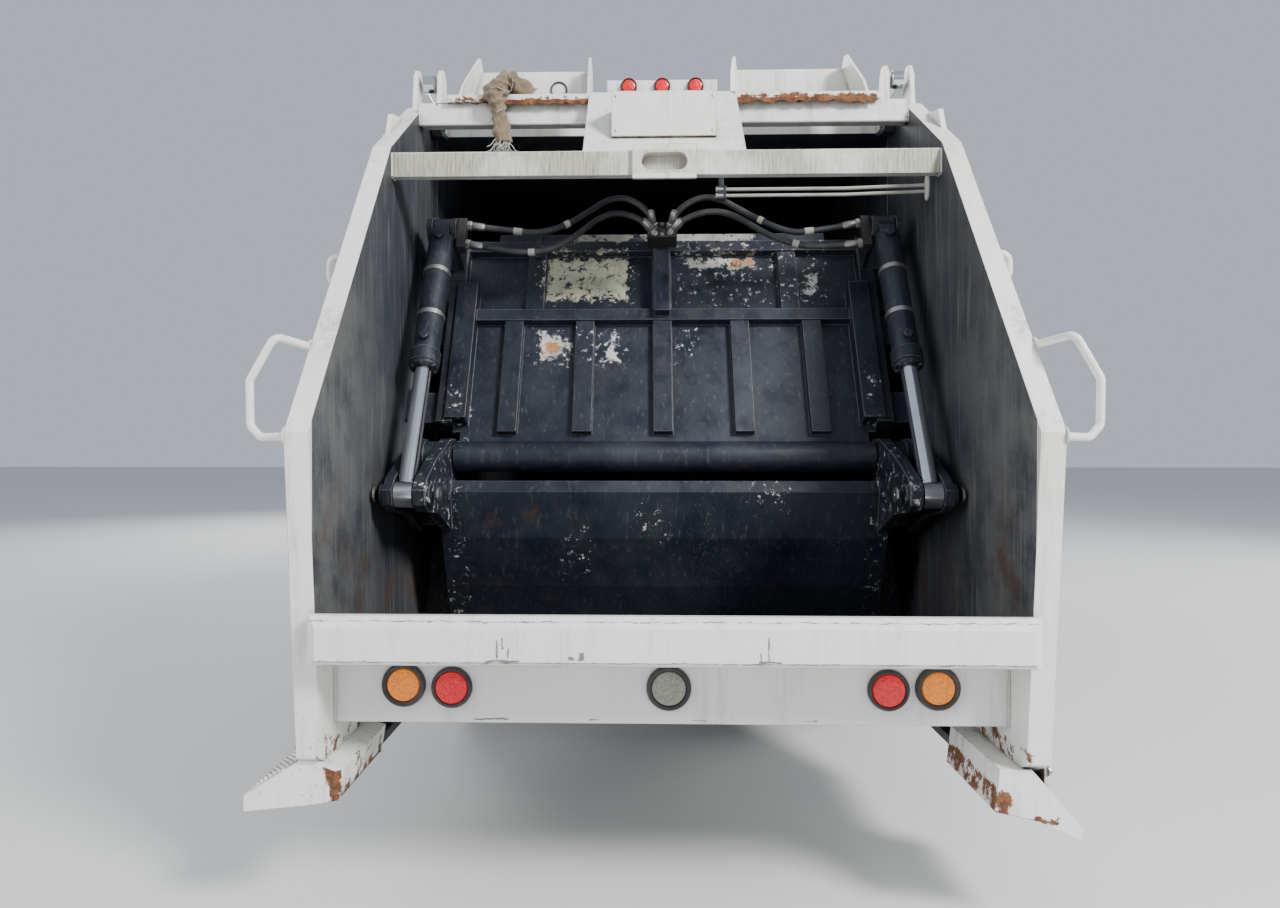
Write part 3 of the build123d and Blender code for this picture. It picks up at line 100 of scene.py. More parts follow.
class Surface:
    """A principled material built from nodes. Its textures lie in the truck's own frame."""

    def __init__(self, name):
        self.material = bpy.data.materials.new(name)
        self.material.use_nodes = True
        self.tree = self.material.node_tree
        self.shader = self.tree.nodes["Principled BSDF"]
        self.place = self.add("TexCoord").outputs["Object"]
        self.axes = self.add("SeparateXYZ", {"Vector": self.place}).outputs
        self.rounded = None

    def add(self, kind, inputs=None, **settings):
        node = self.tree.nodes.new("ShaderNode" + kind)
        for key, value in settings.items():
            setattr(node, key, value)
        for key, value in (inputs or {}).items():
            self.join(value, node.inputs[key])
        return node

    def join(self, value, socket):
        if isinstance(value, bpy.types.NodeSocket):
            self.tree.links.new(value, socket)
        elif socket.type == "RGBA" and len(value) == 3:
            socket.default_value = (*value, 1)
        else:
            socket.default_value = value

    def stretched(self, x, y, z):
        return self.add("Mapping", {"Vector": self.place, "Scale": (x, y, z)}).outputs["Vector"]

    def noise(self, scale, detail=4, rough=0.6, tall=None, place=None):
        """Noise, drawn out upwards where its upright scale is given as tall."""
        if tall is not None:
            place = self.stretched(1, 1, tall)
        inputs = {"Vector": place or self.place, "Scale": scale, "Detail": detail, "Roughness": rough}
        return self.add("TexNoise", inputs).outputs["Fac"]

    def clouds(self, low, high, *noise, **extra):
        return self.band(self.noise(*noise, **extra), low, high)

    def cells(self, scale):
        return self.add("TexVoronoi", {"Vector": self.place, "Scale": scale}).outputs["Distance"]

    def calc(self, kind, a, b=0.0):
        return self.add("Math", {0: a, 1: b}, operation=kind).outputs[0]

    def band(self, value, low, high):
        """0 below low and 1 above high, or the other way round where low is the larger."""
        inputs = {"Value": value, "From Min": low, "From Max": high}
        return self.add("MapRange", inputs, interpolation_type="SMOOTHSTEP").outputs["Result"]

    def both(self, *values):
        product = values[0]
        for value in values[1:]:
            product = self.calc("MULTIPLY", product, value)
        return product

    def either(self, a, b):
        return self.calc("MAXIMUM", a, b)

    def mix(self, factor, under, over):
        return self.add("Mix", {0: factor, 6: under, 7: over}, data_type="RGBA").outputs[2]

    def blend(self, factor, under, over):
        return self.add("Mix", {0: factor, 2: under, 3: over}, data_type="FLOAT").outputs[0]

    def edges(self, radius):
        """1 at outer and inner edges of the piece, 0 on its open faces. Keeps the rounded normal for the relief."""
        self.rounded = self.add("Bevel", {"Radius": radius}, samples=4).outputs["Normal"]
        flat = self.add("NewGeometry").outputs["Normal"]
        same = self.add("VectorMath", {0: self.rounded, 1: flat}, operation="DOT_PRODUCT").outputs["Value"]
        return self.band(same, 0.985, 0.80)

    def hollows(self, distance):
        """1 in corners and crevices, 0 in the open."""
        light = self.add("AmbientOcclusion", {"Distance": distance}, samples=4).outputs["AO"]
        return self.band(light, 0.85, 0.25)

    def window(self, axis, low, high, soft=0.02):
        """1 between two values of x, y or z."""
        value = self.axes[axis]
        return self.both(self.band(value, low - soft, low + soft), self.band(value, high + soft, high - soft))

    def reach(self, origin, direction):
        """How far a point lies from the origin in a direction."""
        away = self.add("VectorMath", {0: self.place, 1: origin}, operation="SUBTRACT").outputs["Vector"]
        return self.add("VectorMath", {0: away, 1: direction}, operation="DOT_PRODUCT").outputs["Value"]

    def patch(self, a, b, box, ragged, soft=0.006):
        """1 on a patch with torn edges, where a and b lie between the box's two values each."""
        inset = self.calc("SUBTRACT", a, box[0])
        for other in (
            self.calc("SUBTRACT", box[1], a),
            self.calc("SUBTRACT", b, box[2]),
            self.calc("SUBTRACT", box[3], b),
        ):
            inset = self.calc("MINIMUM", inset, other)
        torn = self.both(self.calc("SUBTRACT", self.noise(17, 7, 0.78), 0.56), ragged)
        return self.band(self.calc("ADD", inset, torn), 0.0, soft)

    def patches(self, a, b, boxes, ragged):
        whole = 0.0
        for box in boxes:
            whole = self.either(whole, self.patch(a, b, box, ragged))
        return whole

    def bump(self, height, distance, strength=0.5):
        """Relief from a height, over the rounded normal where edges() made one."""
        inputs = {"Height": height, "Distance": distance, "Strength": strength}
        if self.rounded is not None:
            inputs["Normal"] = self.rounded
        return self.add("Bump", inputs).outputs["Normal"]

    def done(self, color, rough, metal=0.0, normal=None, **fixed):
        values = {"Base Color": color, "Roughness": rough, "Metallic": metal}
        if normal is not None:
            values["Normal"] = normal
        for key, value in fixed.items():
            values[key.replace("_", " ").title().replace("Ior", "IOR")] = value
        for key, value in values.items():
            self.join(value, self.shader.inputs[key])
        return self.material


CHALK = (0.80, 0.80, 0.77)
CREAM = (0.66, 0.63, 0.54)
SOOT = (0.20, 0.19, 0.16)
RUST = (0.085, 0.030, 0.013)
RUST_LIGHT = (0.22, 0.085, 0.026)
COAL = (0.008, 0.011, 0.020)
STEEL = (0.42, 0.41, 0.39)


def rust_color(s):
    return s.mix(s.clouds(0.35, 0.65, 55, 5), RUST, RUST_LIGHT)


def old_white(s, rust, grime_and_shade, dust=0.35, inside=None, rust_boxes=(), scuffs=(), drips=None, road=0.0):
    """White paint outdoors for years: cream film, sooty runs, rust at edges and in chips.

    Inside is a half width, and boxes of two places along and two heights: within them the plate is worn dark. Rust
    boxes and scuffs are (x, x, z, z), and drips two heights of a face that dirty water has run down. Road is how much
    mud its low parts carry."""
    color = s.mix(s.both(s.clouds(0.35, 0.75, 1.7, 6), dust), CHALK, CREAM)
    smears = s.both(s.clouds(0.52, 0.70, 5.5, 8, 0.75, tall=0.4), grime_and_shade, 0.55)
    color = s.mix(smears, color, (0.50, 0.46, 0.35))
    specks = s.both(s.band(s.cells(70), 0.13, 0.05), s.clouds(0.45, 0.6, 3.7, 4), grime_and_shade)
    color = s.mix(specks, color, (0.14, 0.12, 0.09))
    runs = s.noise(11, 5, tall=0.07)
    fine_runs = s.noise(70, 3, tall=0.03)
    runs = s.both(s.band(runs, 0.48, 0.72), s.band(fine_runs, 0.3, 0.7), grime_and_shade)
    color = s.mix(runs, color, SOOT)
    # Dirt and painted shade: corners and crevices, found by ambient occlusion, are darkened brown-grey.
    hollow_grime_and_shade = s.both(s.hollows(0.05), s.clouds(0.15, 0.6, 14, 5), min(1.0, grime_and_shade * 1.6))
    color = s.mix(hollow_grime_and_shade, color, (0.13, 0.10, 0.065))
    patchy = s.clouds(0.5, 0.68, 3.1, 5)
    edge = s.edges(0.006)
    chips = s.calc("ADD", s.both(edge, 0.6), s.both(s.noise(24, 6, 0.7), patchy, 0.75))
    chips = s.both(s.band(chips, 0.62 - 0.1 * rust, 0.78), min(1.0, rust * 1.5))
    pits = s.both(s.band(s.cells(48), 0.16, 0.07), s.clouds(0.55, 0.66, 2.3, 4), rust)
    rusty = s.either(chips, pits)
    halo = s.both(s.band(s.calc("ADD", s.both(edge, 0.5), s.both(s.noise(9, 5), patchy)), 0.6, 1.0), rust * 0.6)
    if rust_boxes:
        corroded = s.patches(s.axes[0], s.axes[2], rust_boxes, 0.12)
        rusty = s.either(rusty, corroded)
        halo = s.either(halo, s.both(s.patches(s.axes[0], s.axes[2], rust_boxes, 0.22), 0.7))
    color = s.mix(halo, color, (0.62, 0.42, 0.20))
    color = s.mix(rusty, color, rust_color(s))
    if road:
        spray = s.calc("ADD", s.both(s.noise(3.0, 7, 0.7), 0.9), s.both(s.axes[2], -0.42))
        color = s.mix(s.both(s.band(spray, -0.22, 0.32), road), color, (0.30, 0.265, 0.21))
    if drips:
        runny = s.both(s.clouds(0.36, 0.66, 120, 4, tall=0.08), 0.75)
        film = s.both(s.window(2, *drips, soft=0.004), s.clouds(0.25, 0.6, 3.3, 5))
        color = s.mix(s.both(film, 0.85), color, (0.42, 0.41, 0.31))
        color = s.mix(s.both(film, runny), color, (0.20, 0.19, 0.135))
    if scuffs:
        wander = s.both(s.calc("SUBTRACT", s.noise(26, 4), 0.5), 0.022)
        across = s.calc("ADD", s.axes[0], wander)
        upright = s.calc("ADD", s.axes[2], s.both(wander, 0.7))
        lines = 0.0
        for box in scuffs:
            lines = s.either(lines, s.patch(across, upright, box, 0.012, soft=0.0015))
        color = s.mix(s.both(lines, 0.85), color, (0.09, 0.08, 0.07))
    rough = s.blend(rusty, s.blend(s.noise(6), 0.34, 0.52), 0.88)
    peel = s.calc("SUBTRACT", s.both(s.noise(160, 2), 0.25), rusty)
    if inside:
        half, boxes = inside
        worn = 0.0
        for start, end, low, high in boxes:
            along = s.window(1, TAIL + start, TAIL + end, soft=0.0005)
            worn = s.either(worn, s.both(along, s.window(2, low, high, soft=0.0005)))
        worn = s.both(worn, s.band(s.calc("ABSOLUTE", s.axes[0]), half + 0.0012, half + 0.0004))
        color = s.mix(worn, color, dark_plate(s))
        rough = s.blend(worn, rough, 0.62)
    return s.done(color, rough, normal=s.bump(peel, 0.0006, 0.6), coat_weight=0.12, coat_roughness=0.25)


def dark_plate(s):
    """Plate scoured by refuse: dark, stippled, with fine pale runs, painted sunlight near the tail and brown stains
    low down.
    """
    color = s.mix(s.clouds(0.35, 0.7, 2.0, 6), (0.022, 0.026, 0.038), (0.055, 0.058, 0.062))
    stipple = s.both(s.band(s.cells(150), 0.35, 0.12), s.clouds(0.40, 0.62, 3.0, 6, 0.7), 0.6)
    color = s.mix(stipple, color, (0.19, 0.19, 0.185))
    fine = s.noise(85, 3, tall=0.03)
    broad = s.noise(14, 4, tall=0.10)
    color = s.mix(s.both(s.band(fine, 0.46, 0.72), s.band(broad, 0.38, 0.64), 0.7), color, (0.20, 0.20, 0.19))
    # Painted light: the plate is lighter for about a metre in from the tail, where sunlight falls into the hopper.
    painted_sunlight = s.both(s.band(s.axes[1], TAIL + 1.15, TAIL + 0.05), s.clouds(0.30, 0.62, 4.5, 6, 0.7), 0.65)
    color = s.mix(painted_sunlight, color, (0.16, 0.16, 0.15))
    low = s.both(s.band(s.axes[2], 1.65, 1.15), s.clouds(0.50, 0.66, 3.5, 6, 0.7), 0.7)
    return s.mix(low, color, (0.075, 0.040, 0.022))


def worn_black(s, scuffs=0.5, pale=0.25, patches=(), flaked=()):
    """Black paint on packer plate: streaked and stippled, worn to pale metal at its edges.

    Patches are (x, x, up, up, colour) on the slide, where old paint shows; flaked are boxes full of small chips."""
    color = s.mix(s.clouds(0.4, 0.7, 2.2, 6), COAL, (0.022, 0.026, 0.038))
    streaks = s.noise(60, 4, tall=0.05)
    color = s.mix(s.both(s.band(streaks, 0.54, 0.8), pale), color, (0.20, 0.20, 0.20))
    flecks = s.both(s.band(s.cells(95), 0.2, 0.1), s.clouds(0.56, 0.7, 2.7, 6, 0.7), scuffs)
    edge = s.calc("ADD", s.both(s.edges(0.007), 0.7), s.both(s.noise(30, 6, 0.7), 0.5))
    bare = s.either(s.both(s.band(edge, 0.80, 0.95), scuffs), flecks)
    color = s.mix(bare, color, (0.45, 0.45, 0.44))
    brown = s.both(s.clouds(0.6, 0.72, 4.2, 6, 0.7), 0.55)
    color = s.mix(brown, color, (0.07, 0.04, 0.025))
    rough = s.blend(s.clouds(0.3, 0.7, 9, 5), 0.30, 0.62)
    lift = 0.0
    if patches or flaked:
        up = s.reach(BLADE_HINGE, UP)
        chips = s.clouds(0.585, 0.60, 33, 8, 0.8)
        flakes = s.both(s.patches(s.axes[0], up, flaked, 0.25), chips) if flaked else 0.0
        lift = flakes
        color = s.mix(flakes, color, (0.62, 0.62, 0.58))
        for *box, shade in patches:
            holes = s.clouds(0.56, 0.545, 27, 8, 0.82)
            shown = s.both(s.patch(s.axes[0], up, box, 0.24), holes)
            inner = s.mix(s.clouds(0.35, 0.7, 8, 6, 0.7), shade, tuple(c * 0.62 for c in shade))
            color = s.mix(shown, color, inner)
            lift = s.either(lift, shown)
        rough = s.blend(lift, rough, 0.6)
    dents = s.calc("ADD", s.both(s.noise(5, 3), 0.8), s.both(s.noise(120, 3), 0.15))
    dents = s.calc("SUBTRACT", dents, s.both(lift, 0.12))
    return s.done(color, rough, normal=s.bump(dents, 0.004, 0.5))


def plain_metal(s, color, rough, metal=1.0, grain=200, stretch=(1, 1, 0.1), dirt=0.3):
    grains = s.noise(grain, 3, place=s.stretched(*stretch))
    tint = s.mix(s.both(s.clouds(0.45, 0.75, 7, 6), dirt), color, (0.12, 0.10, 0.08))
    return s.done(tint, s.blend(grains, rough * 0.75, rough * 1.3), metal, s.bump(grains, 0.0003, 0.3))


def rubber(s, color, rough=0.75, dust=0.3):
    film = s.both(s.clouds(0.4, 0.75, 5, 6, 0.7), dust)
    tint = s.mix(film, color, (0.20, 0.18, 0.15))
    rough = s.blend(s.noise(30), rough * 0.9, min(1, rough * 1.15))
    return s.done(tint, rough, normal=s.bump(s.noise(220, 3), 0.0004, 0.4))


def lens(s, color, see_through=0.0, glow=0.35):
    """Moulded lamp plastic with its grid of small prisms, and painted glints and shade mottling its facets."""
    across = s.calc("SINE", s.both(s.axes[0], PRISMS_A_METRE * TURN))
    upright = s.calc("SINE", s.both(s.axes[2], PRISMS_A_METRE * TURN))
    prisms = s.both(across, upright)
    facets_and_glints = s.clouds(0.35, 0.65, 150, 2, 0.5)
    tint = s.mix(s.both(s.band(prisms, -0.1, 0.9), 0.5), color, tuple(c * 0.45 for c in color))
    # Painted glints and shade: the facets' noise mottles the lens darker in patches; the same noise gives their
    # relief.
    tint = s.mix(s.both(facets_and_glints, 0.6), tint, tuple(c * 0.4 for c in color))
    return s.done(tint, 0.22, normal=s.bump(facets_and_glints, 0.0015, 0.6), transmission_weight=see_through, ior=1.49,
                  coat_weight=0.4, coat_roughness=0.08, emission_color=tint, emission_strength=glow)


def hopper_dark(s):
    color = dark_plate(s)
    worn = s.both(s.clouds(0.5, 0.66, 6, 6, 0.7), 0.5)
    color = s.mix(worn, color, (0.09, 0.088, 0.085))
    rough = s.blend(s.clouds(0.3, 0.7, 8, 5), 0.30, 0.6)
    return s.done(color, rough, normal=s.bump(s.noise(90, 4), 0.0015, 0.5))


def rusty_plate(s):
    color = s.mix(s.clouds(0.38, 0.62, 16, 6, 0.7), RUST, RUST_LIGHT)
    color = s.mix(s.clouds(0.55, 0.65, 7, 6, 0.7), color, (0.11, 0.035, 0.012))
    return s.done(color, 0.92, normal=s.bump(s.noise(130, 6, 0.7), 0.002, 0.8))


def woven(s, color, threads, rough):
    """Cloth with its threads crossing at right angles, soiled in patches."""
    warp = s.calc("SINE", s.both(s.axes[0], threads * TURN))
    weft = s.calc("SINE", s.both(s.calc("ADD", s.axes[1], s.axes[2]), threads * TURN))
    weave = s.both(warp, weft)
    soil = s.clouds(0.35, 0.7, 9, 6, 0.7)
    tint = s.mix(soil, color, tuple(c * 0.45 for c in color))
    tint = s.mix(s.both(s.band(weave, -0.2, 0.9), 0.25), tint, tuple(min(1, c * 1.5) for c in color))
    return s.done(tint, rough, normal=s.bump(weave, 0.0005, 0.5), sheen_weight=0.25, sheen_roughness=0.5)


def clear_glass(s):
    film = s.both(s.clouds(0.45, 0.8, 2.2, 6, 0.7), 0.18)
    color = s.mix(film, (0.86, 0.93, 0.92), (0.60, 0.58, 0.52))
    return s.done(color, s.blend(film, 0.02, 0.35), transmission_weight=0.94, ior=1.45)


# Marks, listed one by one. On the slide: old paint under the black, as (x, x, up, up) and a colour.
PALE_GREEN = (0.66, 0.66, 0.47)
PALE = (0.62, 0.62, 0.58)
ORANGE = (0.50, 0.25, 0.09)
SLIDE_PATCHES = [
    (-0.575, -0.150, 0.815, 1.085, PALE_GREEN),
    (0.100, 0.450, 1.000, 1.085, PALE),
    (0.330, 0.445, 1.010, 1.080, ORANGE),
    (-0.585, -0.425, 0.485, 0.645, PALE),
    (-0.560, -0.460, 0.510, 0.610, ORANGE),
    (-0.268, -0.200, 0.465, 0.645, PALE),
    (0.668, 0.755, 0.850, 0.975, PALE),
    (-0.105, 0.455, 1.150, 1.500, (0.36, 0.38, 0.32)),
    (-0.430, -0.130, 1.130, 1.500, (0.48, 0.46, 0.38)),
]
SLIDE_FLAKES = [
    (-0.62, -0.10, 0.78, 1.13),
    (0.05, 0.80, 0.78, 1.20),
    (-0.62, -0.15, 0.44, 0.67),
    (0.05, 0.20, 0.48, 0.66),
    (0.88, 0.96, 0.02, 0.45),
    (-0.98, -0.86, 0.02, 0.40),
]
BLADE_FLAKES = [
    (-0.985, -0.850, -0.60, 0.20),
    (0.870, 0.985, -0.80, 0.20),
    (-0.15, 0.05, -0.35, -0.20),
    (0.35, 0.55, -0.25, -0.05),
    (-0.45, -0.30, -0.45, -0.30),
]
# On the sill, the trays' lips and the steps, as (x, x, z, z).
SILL_SCUFFS = [
    (-0.544, -0.536, 0.955, 1.015),
    (-0.575, -0.470, 0.944, 0.953),
    (-0.526, -0.519, 0.985, 1.025),
    (-0.508, -0.502, 0.960, 0.990),
    (-0.320, -0.296, 0.950, 0.966),
    (-0.288, -0.268, 0.950, 0.978),
    (-1.130, 1.130, 0.940, 0.9455),
    (-1.135, 1.135, 1.066, 1.071),
    (0.297, 0.305, 0.950, 1.030),
    (0.276, 0.282, 0.950, 0.985),
    (0.270, 0.345, 0.944, 0.954),
    (-0.660, -0.540, 0.686, 0.694),
    (-0.270, -0.235, 0.686, 0.694),
    (0.080, 0.130, 0.686, 0.692),
    (0.460, 0.500, 0.686, 0.692),
]
LIP_RUST = [
    (0.35, 0.995, 3.212, 3.250),
    (-0.70, -0.34, 3.220, 3.236),
    (-1.06, -0.80, 3.212, 3.240),
]
WALL_RUST = [
    (-1.165, -1.135, 0.560, 0.660),
    (1.135, 1.165, 0.560, 0.640),
]
STEP_RUST = [
    (-1.135, -1.070, 0.395, 0.560),
    (1.040, 1.105, 0.380, 0.520),
    (1.150, 1.260, 0.385, 0.425),
]


SURFACES = {}


class Shape:
    """Points and faces of one mesh, gathered from simple swept forms."""

    def __init__(self):
        self.points = []
        self.faces = []

    def rings(self, rings, closed=False):
        """Skins a row of equal rings of points."""
        first = len(self.points)
        count = len(rings[0])
        for ring in rings:
            self.points.extend(ring)
        pairs = len(rings) if closed else len(rings) - 1
        for i in range(pairs):
            a = first + i * count
            b = first + (i + 1) % len(rings) * count
            for j in range(count):
                k = (j + 1) % count
                self.faces.append((a + j, a + k, b + k, b + j))
        if not closed:
            self.faces.append(tuple(range(first, first + count)))
            last = first + (len(rings) - 1) * count
            self.faces.append(tuple(range(last + count - 1, last - 1, -1)))
        return self

    def lathe(self, origin, axis, profile, sides=32, start=0.0, closed=False):
        """Turns a profile of (distance along the axis, radius) about the axis."""
        side, other = square_to(axis)
        axis = axis.normalized()
        rings = []
        for along, radius in profile:
            angles = round_turn(sides, start)
            rings.append([origin + axis * along + spoke(side, other, angle) * radius for angle in angles])
        return self.rings(rings, closed=closed)

    def prism(self, outline, depth):
        """A flat outline of points pushed out along the vector depth."""
        return self.rings([outline, [point + depth for point in outline]])

    def box(self, low, high):
        corners = ((low.x, low.y), (high.x, low.y), (high.x, high.y), (low.x, high.y))
        outline = [Vector((x, y, low.z)) for x, y in corners]
        return self.prism(outline, Z * (high.z - low.z))

    def slab(self, centre, u, v, w):
        """A box about a centre, from three half edges."""
        outline = [centre - u - v - w, centre + u - v - w, centre + u + v - w, centre - u + v - w]
        return self.prism(outline, w * 2)

    def tube(self, path, radius, sides=12, swell=None):
        """A tube along a line of points; swell gives the radius factor at a share of its length."""
        rings = []
        for point, side, other, share in frames(path):
            size = radius * (swell(share) if swell else 1)
            rings.append([point + spoke(side, other, angle) * size for angle in round_turn(sides)])
        return self.rings(rings)

    def strip(self, corners, normal, width, depth):
        """A closed rubber strip round a flat outline, its corners rounded."""
        turn = 0.035
        path = []
        for i, corner in enumerate(corners):
            before = (corners[i - 1] - corner).normalized() * turn
            after = (corners[(i + 1) % len(corners)] - corner).normalized() * turn
            for share in (0.0, 0.25, 0.5, 0.75, 1.0):
                path.append(corner + before * (1 - share) ** 2 + after * share ** 2)
        rings = []
        for i, point in enumerate(path):
            ahead = (path[(i + 1) % len(path)] - path[i - 1]).normalized()
            side = ahead.cross(normal) * width
            angles = [pi * j / 5 for j in range(10)]
            rings.append([point + side * cos(a) + normal * (depth * sin(a)) for a in angles])
        return self.rings(rings, closed=True)

    def bolt(self, place, axis, size):
        """A hex head with its washer; size is the width across its flats."""
        self.lathe(place, axis, [(0, size * 0.82), (size * 0.12, size * 0.82), (size * 0.12, size * 0.5)], 20)
        head = [(size * 0.11, size * 0.56), (size * 0.55, size * 0.56), (size * 0.66, size * 0.44)]
        return self.lathe(place, axis, head, 6, start=size * 37)

    def weld(self, start, end, radius):
        """A weld bead: a low tube with the ripples of its passes."""
        length = (end - start).length
        steps = max(6, min(160, int(length / (radius * 0.55))))
        path = [start.lerp(end, i / steps) for i in range(steps + 1)]
        return self.tube(path, radius, 6, lambda share: 1 + 0.16 * sin(share * steps * 2.1))


def frames(path):
    """Each point of a line with two directions square to it, that don't twist, and its share of the way."""
    side = None
    for i, point in enumerate(path):
        ahead = path[min(i + 1, len(path) - 1)] - path[max(i - 1, 0)]
        if side is None:
            side, _ = square_to(ahead)
        ahead = ahead.normalized()
        side = (side - ahead * side.dot(ahead)).normalized()
        yield point, side, ahead.cross(side), i / (len(path) - 1)


def linked(name, data):
    obj = bpy.data.objects.new(name, data)
    bpy.context.scene.collection.objects.link(obj)
    return obj


def round_turn(steps, start=0.0):
    return [start + tau * i / steps for i in range(steps)]


def square_to(axis):
    axis = axis.normalized()
    guide = Z if abs(axis.z) < 0.9 else X
    side = axis.cross(guide).normalized()
    return side, axis.cross(side)


def piece(name, shape, surface, body, crease=35, bevel=0.0, replaced=None):
    """Makes an object of a shape and hangs it on a body of the truck."""
    mesh = bpy.data.meshes.new(name)
    mesh.from_pydata([tuple(point) for point in shape.points], [], shape.faces)
    tidy = bmesh.new()
    tidy.from_mesh(mesh)
    bmesh.ops.recalc_face_normals(tidy, faces=tidy.faces)
    tidy.to_mesh(mesh)
    tidy.free()
    mesh.polygons.foreach_set("use_smooth", [True] * len(mesh.polygons))
    mesh.set_sharp_from_angle(angle=radians(crease))
    mesh.materials.append(SURFACES[surface])
    obj = linked(name, mesh)
    if bevel:
        soften(obj, bevel)
    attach(obj, body)
    if replaced:
        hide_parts(replaced)
    return obj


def soften(obj, width):
    modifier = obj.modifiers.new("soften", "BEVEL")
    modifier.width = width
    modifier.segments = 2
    modifier.limit_method = "ANGLE"
    modifier.angle_limit = radians(40)
    modifier.harden_normals = True


def finish(maker, name, *values, **extra):
    SURFACES[name] = maker(Surface(name), *values, **extra)


def make_surfaces():
    """Every finish of the truck, by name."""
    finish(old_white, "tail_white", 0.75, 0.5, 0.5)
    walls = (WALL_INNER_X, [(0.060, 2.0, 1.000, 3.300), (0.280, 2.0, 0.700, 1.001), (0.600, 2.0, 0.350, 0.701)])
    finish(old_white, "wall_white", 0.7, 0.55, 0.5, inside=walls, rust_boxes=WALL_RUST)
    finish(old_white, "sill_white", 0.5, 0.4, scuffs=SILL_SCUFFS)
    finish(old_white, "frame_white", 0.75, 0.6, rust_boxes=LIP_RUST, drips=(BEAM_LOW, BEAM_HIGH))
    finish(old_white, "step_white", 1.0, 0.6, rust_boxes=STEP_RUST)
    load_space = (1.1405, [(1.00, 7.1105, 1.1795, 3.1905)])
    finish(old_white, "body_white", 0.4, 0.45, 0.6, inside=load_space, road=0.75)
    finish(old_white, "cab_white", 0.2, 0.35, 0.35, road=0.8)
    finish(worn_black, "packer_black")
    finish(worn_black, "slide_black", patches=SLIDE_PATCHES, flaked=SLIDE_FLAKES)
    finish(worn_black, "blade_black", flaked=BLADE_FLAKES)
    finish(hopper_dark, "hopper_dark")
    finish(worn_black, "frame_black", 0.15, 0.1)
    finish(plain_metal, "chrome", (0.72, 0.74, 0.78), 0.13, dirt=0.12)
    finish(plain_metal, "steel", STEEL, 0.42)
    finish(plain_metal, "aluminium", (0.62, 0.63, 0.64), 0.3, dirt=0.2)
    finish(plain_metal, "cast", (0.05, 0.048, 0.045), 0.6, 0.6, 60, (1, 1, 1))
    finish(rubber, "tyre", (0.016, 0.016, 0.017), 0.8)
    finish(rubber, "grommet", (0.03, 0.03, 0.032), 0.6)
    finish(rubber, "hose", (0.02, 0.022, 0.028), 0.5, 0.35)
    finish(rubber, "sleeve", (0.42, 0.42, 0.38), 0.6, 0.5)
    finish(rubber, "plastic", (0.025, 0.025, 0.027), 0.5, 0.15)
    finish(lens, "red", (0.75, 0.0, 0.003))
    finish(lens, "amber", (1.0, 0.26, 0.0))
    finish(lens, "clear", (0.36, 0.38, 0.29), 0.1, glow=0.0)
    finish(rusty_plate, "rust")
    finish(woven, "canvas", (0.23, 0.17, 0.10), 420, 0.9)
    finish(woven, "string", (0.55, 0.53, 0.48), 900, 0.9)
    finish(woven, "seat_cloth", (0.055, 0.058, 0.065), 520, 0.85)
    finish(clear_glass, "glass")
    finish(plain_metal, "mirror", (0.86, 0.88, 0.90), 0.04, dirt=0.06)
    finish(rubber, "trim", (0.045, 0.045, 0.048), 0.6, 0.1)


NODE_SURFACES = {
    "tail_white": "grab_rails",
    "wall_white": "tailgate_sides",
    "sill_white": "hopper_sill",
    "frame_white": "tail_frame",
    "step_white": "riding_steps",
    "body_white": "body_shell",
    "hopper_dark": "hopper_floor ejector_panel",
    "slide_black": "packer_slide",
    "blade_black": "sweep_blade",
    "packer_black": "sweep_barrels slide_barrels",
    "frame_black": "chassis_frame suspension hydraulic_tank lift_barrels",
    "chrome": "sweep_rods slide_rods lift_rods headlamps",
    "steel": "exhaust_stack",
    "aluminium": "fuel_tank front_bumper",
    "cast": "front_axle rear_axles knuckle_left knuckle_right tie_rod engine",
    "plastic": "mudguards grille mirrors packer_hoses",
    "trim": "cab_interior",
    "seat_cloth": "seats",
    "red": "lamps_red",
    "amber": "lamps_amber",
    "clear": "lamp_clear",
    "glass": "cab_glass door_glass_left door_glass_right",
}


def dress_nodes():
    table = {node: surface for surface, names in NODE_SURFACES.items() for node in names.split()}
    for name, obj in nodes.items():
        surface = table.get(name, "tyre" if name.startswith("tyre") else "cab_white")
        obj.data.materials.clear()
        obj.data.materials.append(SURFACES[surface])


def smooth_line(name, points, resolution):
    """An object with one NURBS spline, the points as its control points, and the line that it draws."""
    data = bpy.data.curves.new(name, "CURVE")
    data.dimensions = "3D"
    spline = data.splines.new("NURBS")
    spline.points.add(len(points) - 1)
    for target, point in zip(spline.points, points):
        target.co = (*point, 1)
    spline.order_u = 3
    spline.use_endpoint_u = True
    data.resolution_u = resolution
    obj = linked(name, data)
    line_mesh = bpy.data.meshes.new_from_object(obj)
    line = [vertex.co.copy() for vertex in line_mesh.vertices]
    bpy.data.meshes.remove(line_mesh)
    return obj, line


def add_curve(name, points, radius, surface, body):
    """A smooth round line hung on a body."""
    obj, line = smooth_line(name, points, 10)
    obj.data.bevel_depth = radius
    obj.data.bevel_resolution = 5
    obj.data.use_fill_caps = True
    obj.data.materials.append(SURFACES[surface])
    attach(obj, body)
    return obj, line


def along_line(line, share):
    """A point and direction at a share of a line's length."""
    lengths = [0.0]
    for a, b in zip(line, line[1:]):
        lengths.append(lengths[-1] + (b - a).length)
    want = share * lengths[-1]
    for i in range(len(line) - 1):
        if lengths[i + 1] >= want:
            step = line[i + 1] - line[i]
            return line[i] + step * ((want - lengths[i]) / max(1e-9, step.length)), step.normalized()
    return line[-1], (line[-1] - line[-2]).normalized()


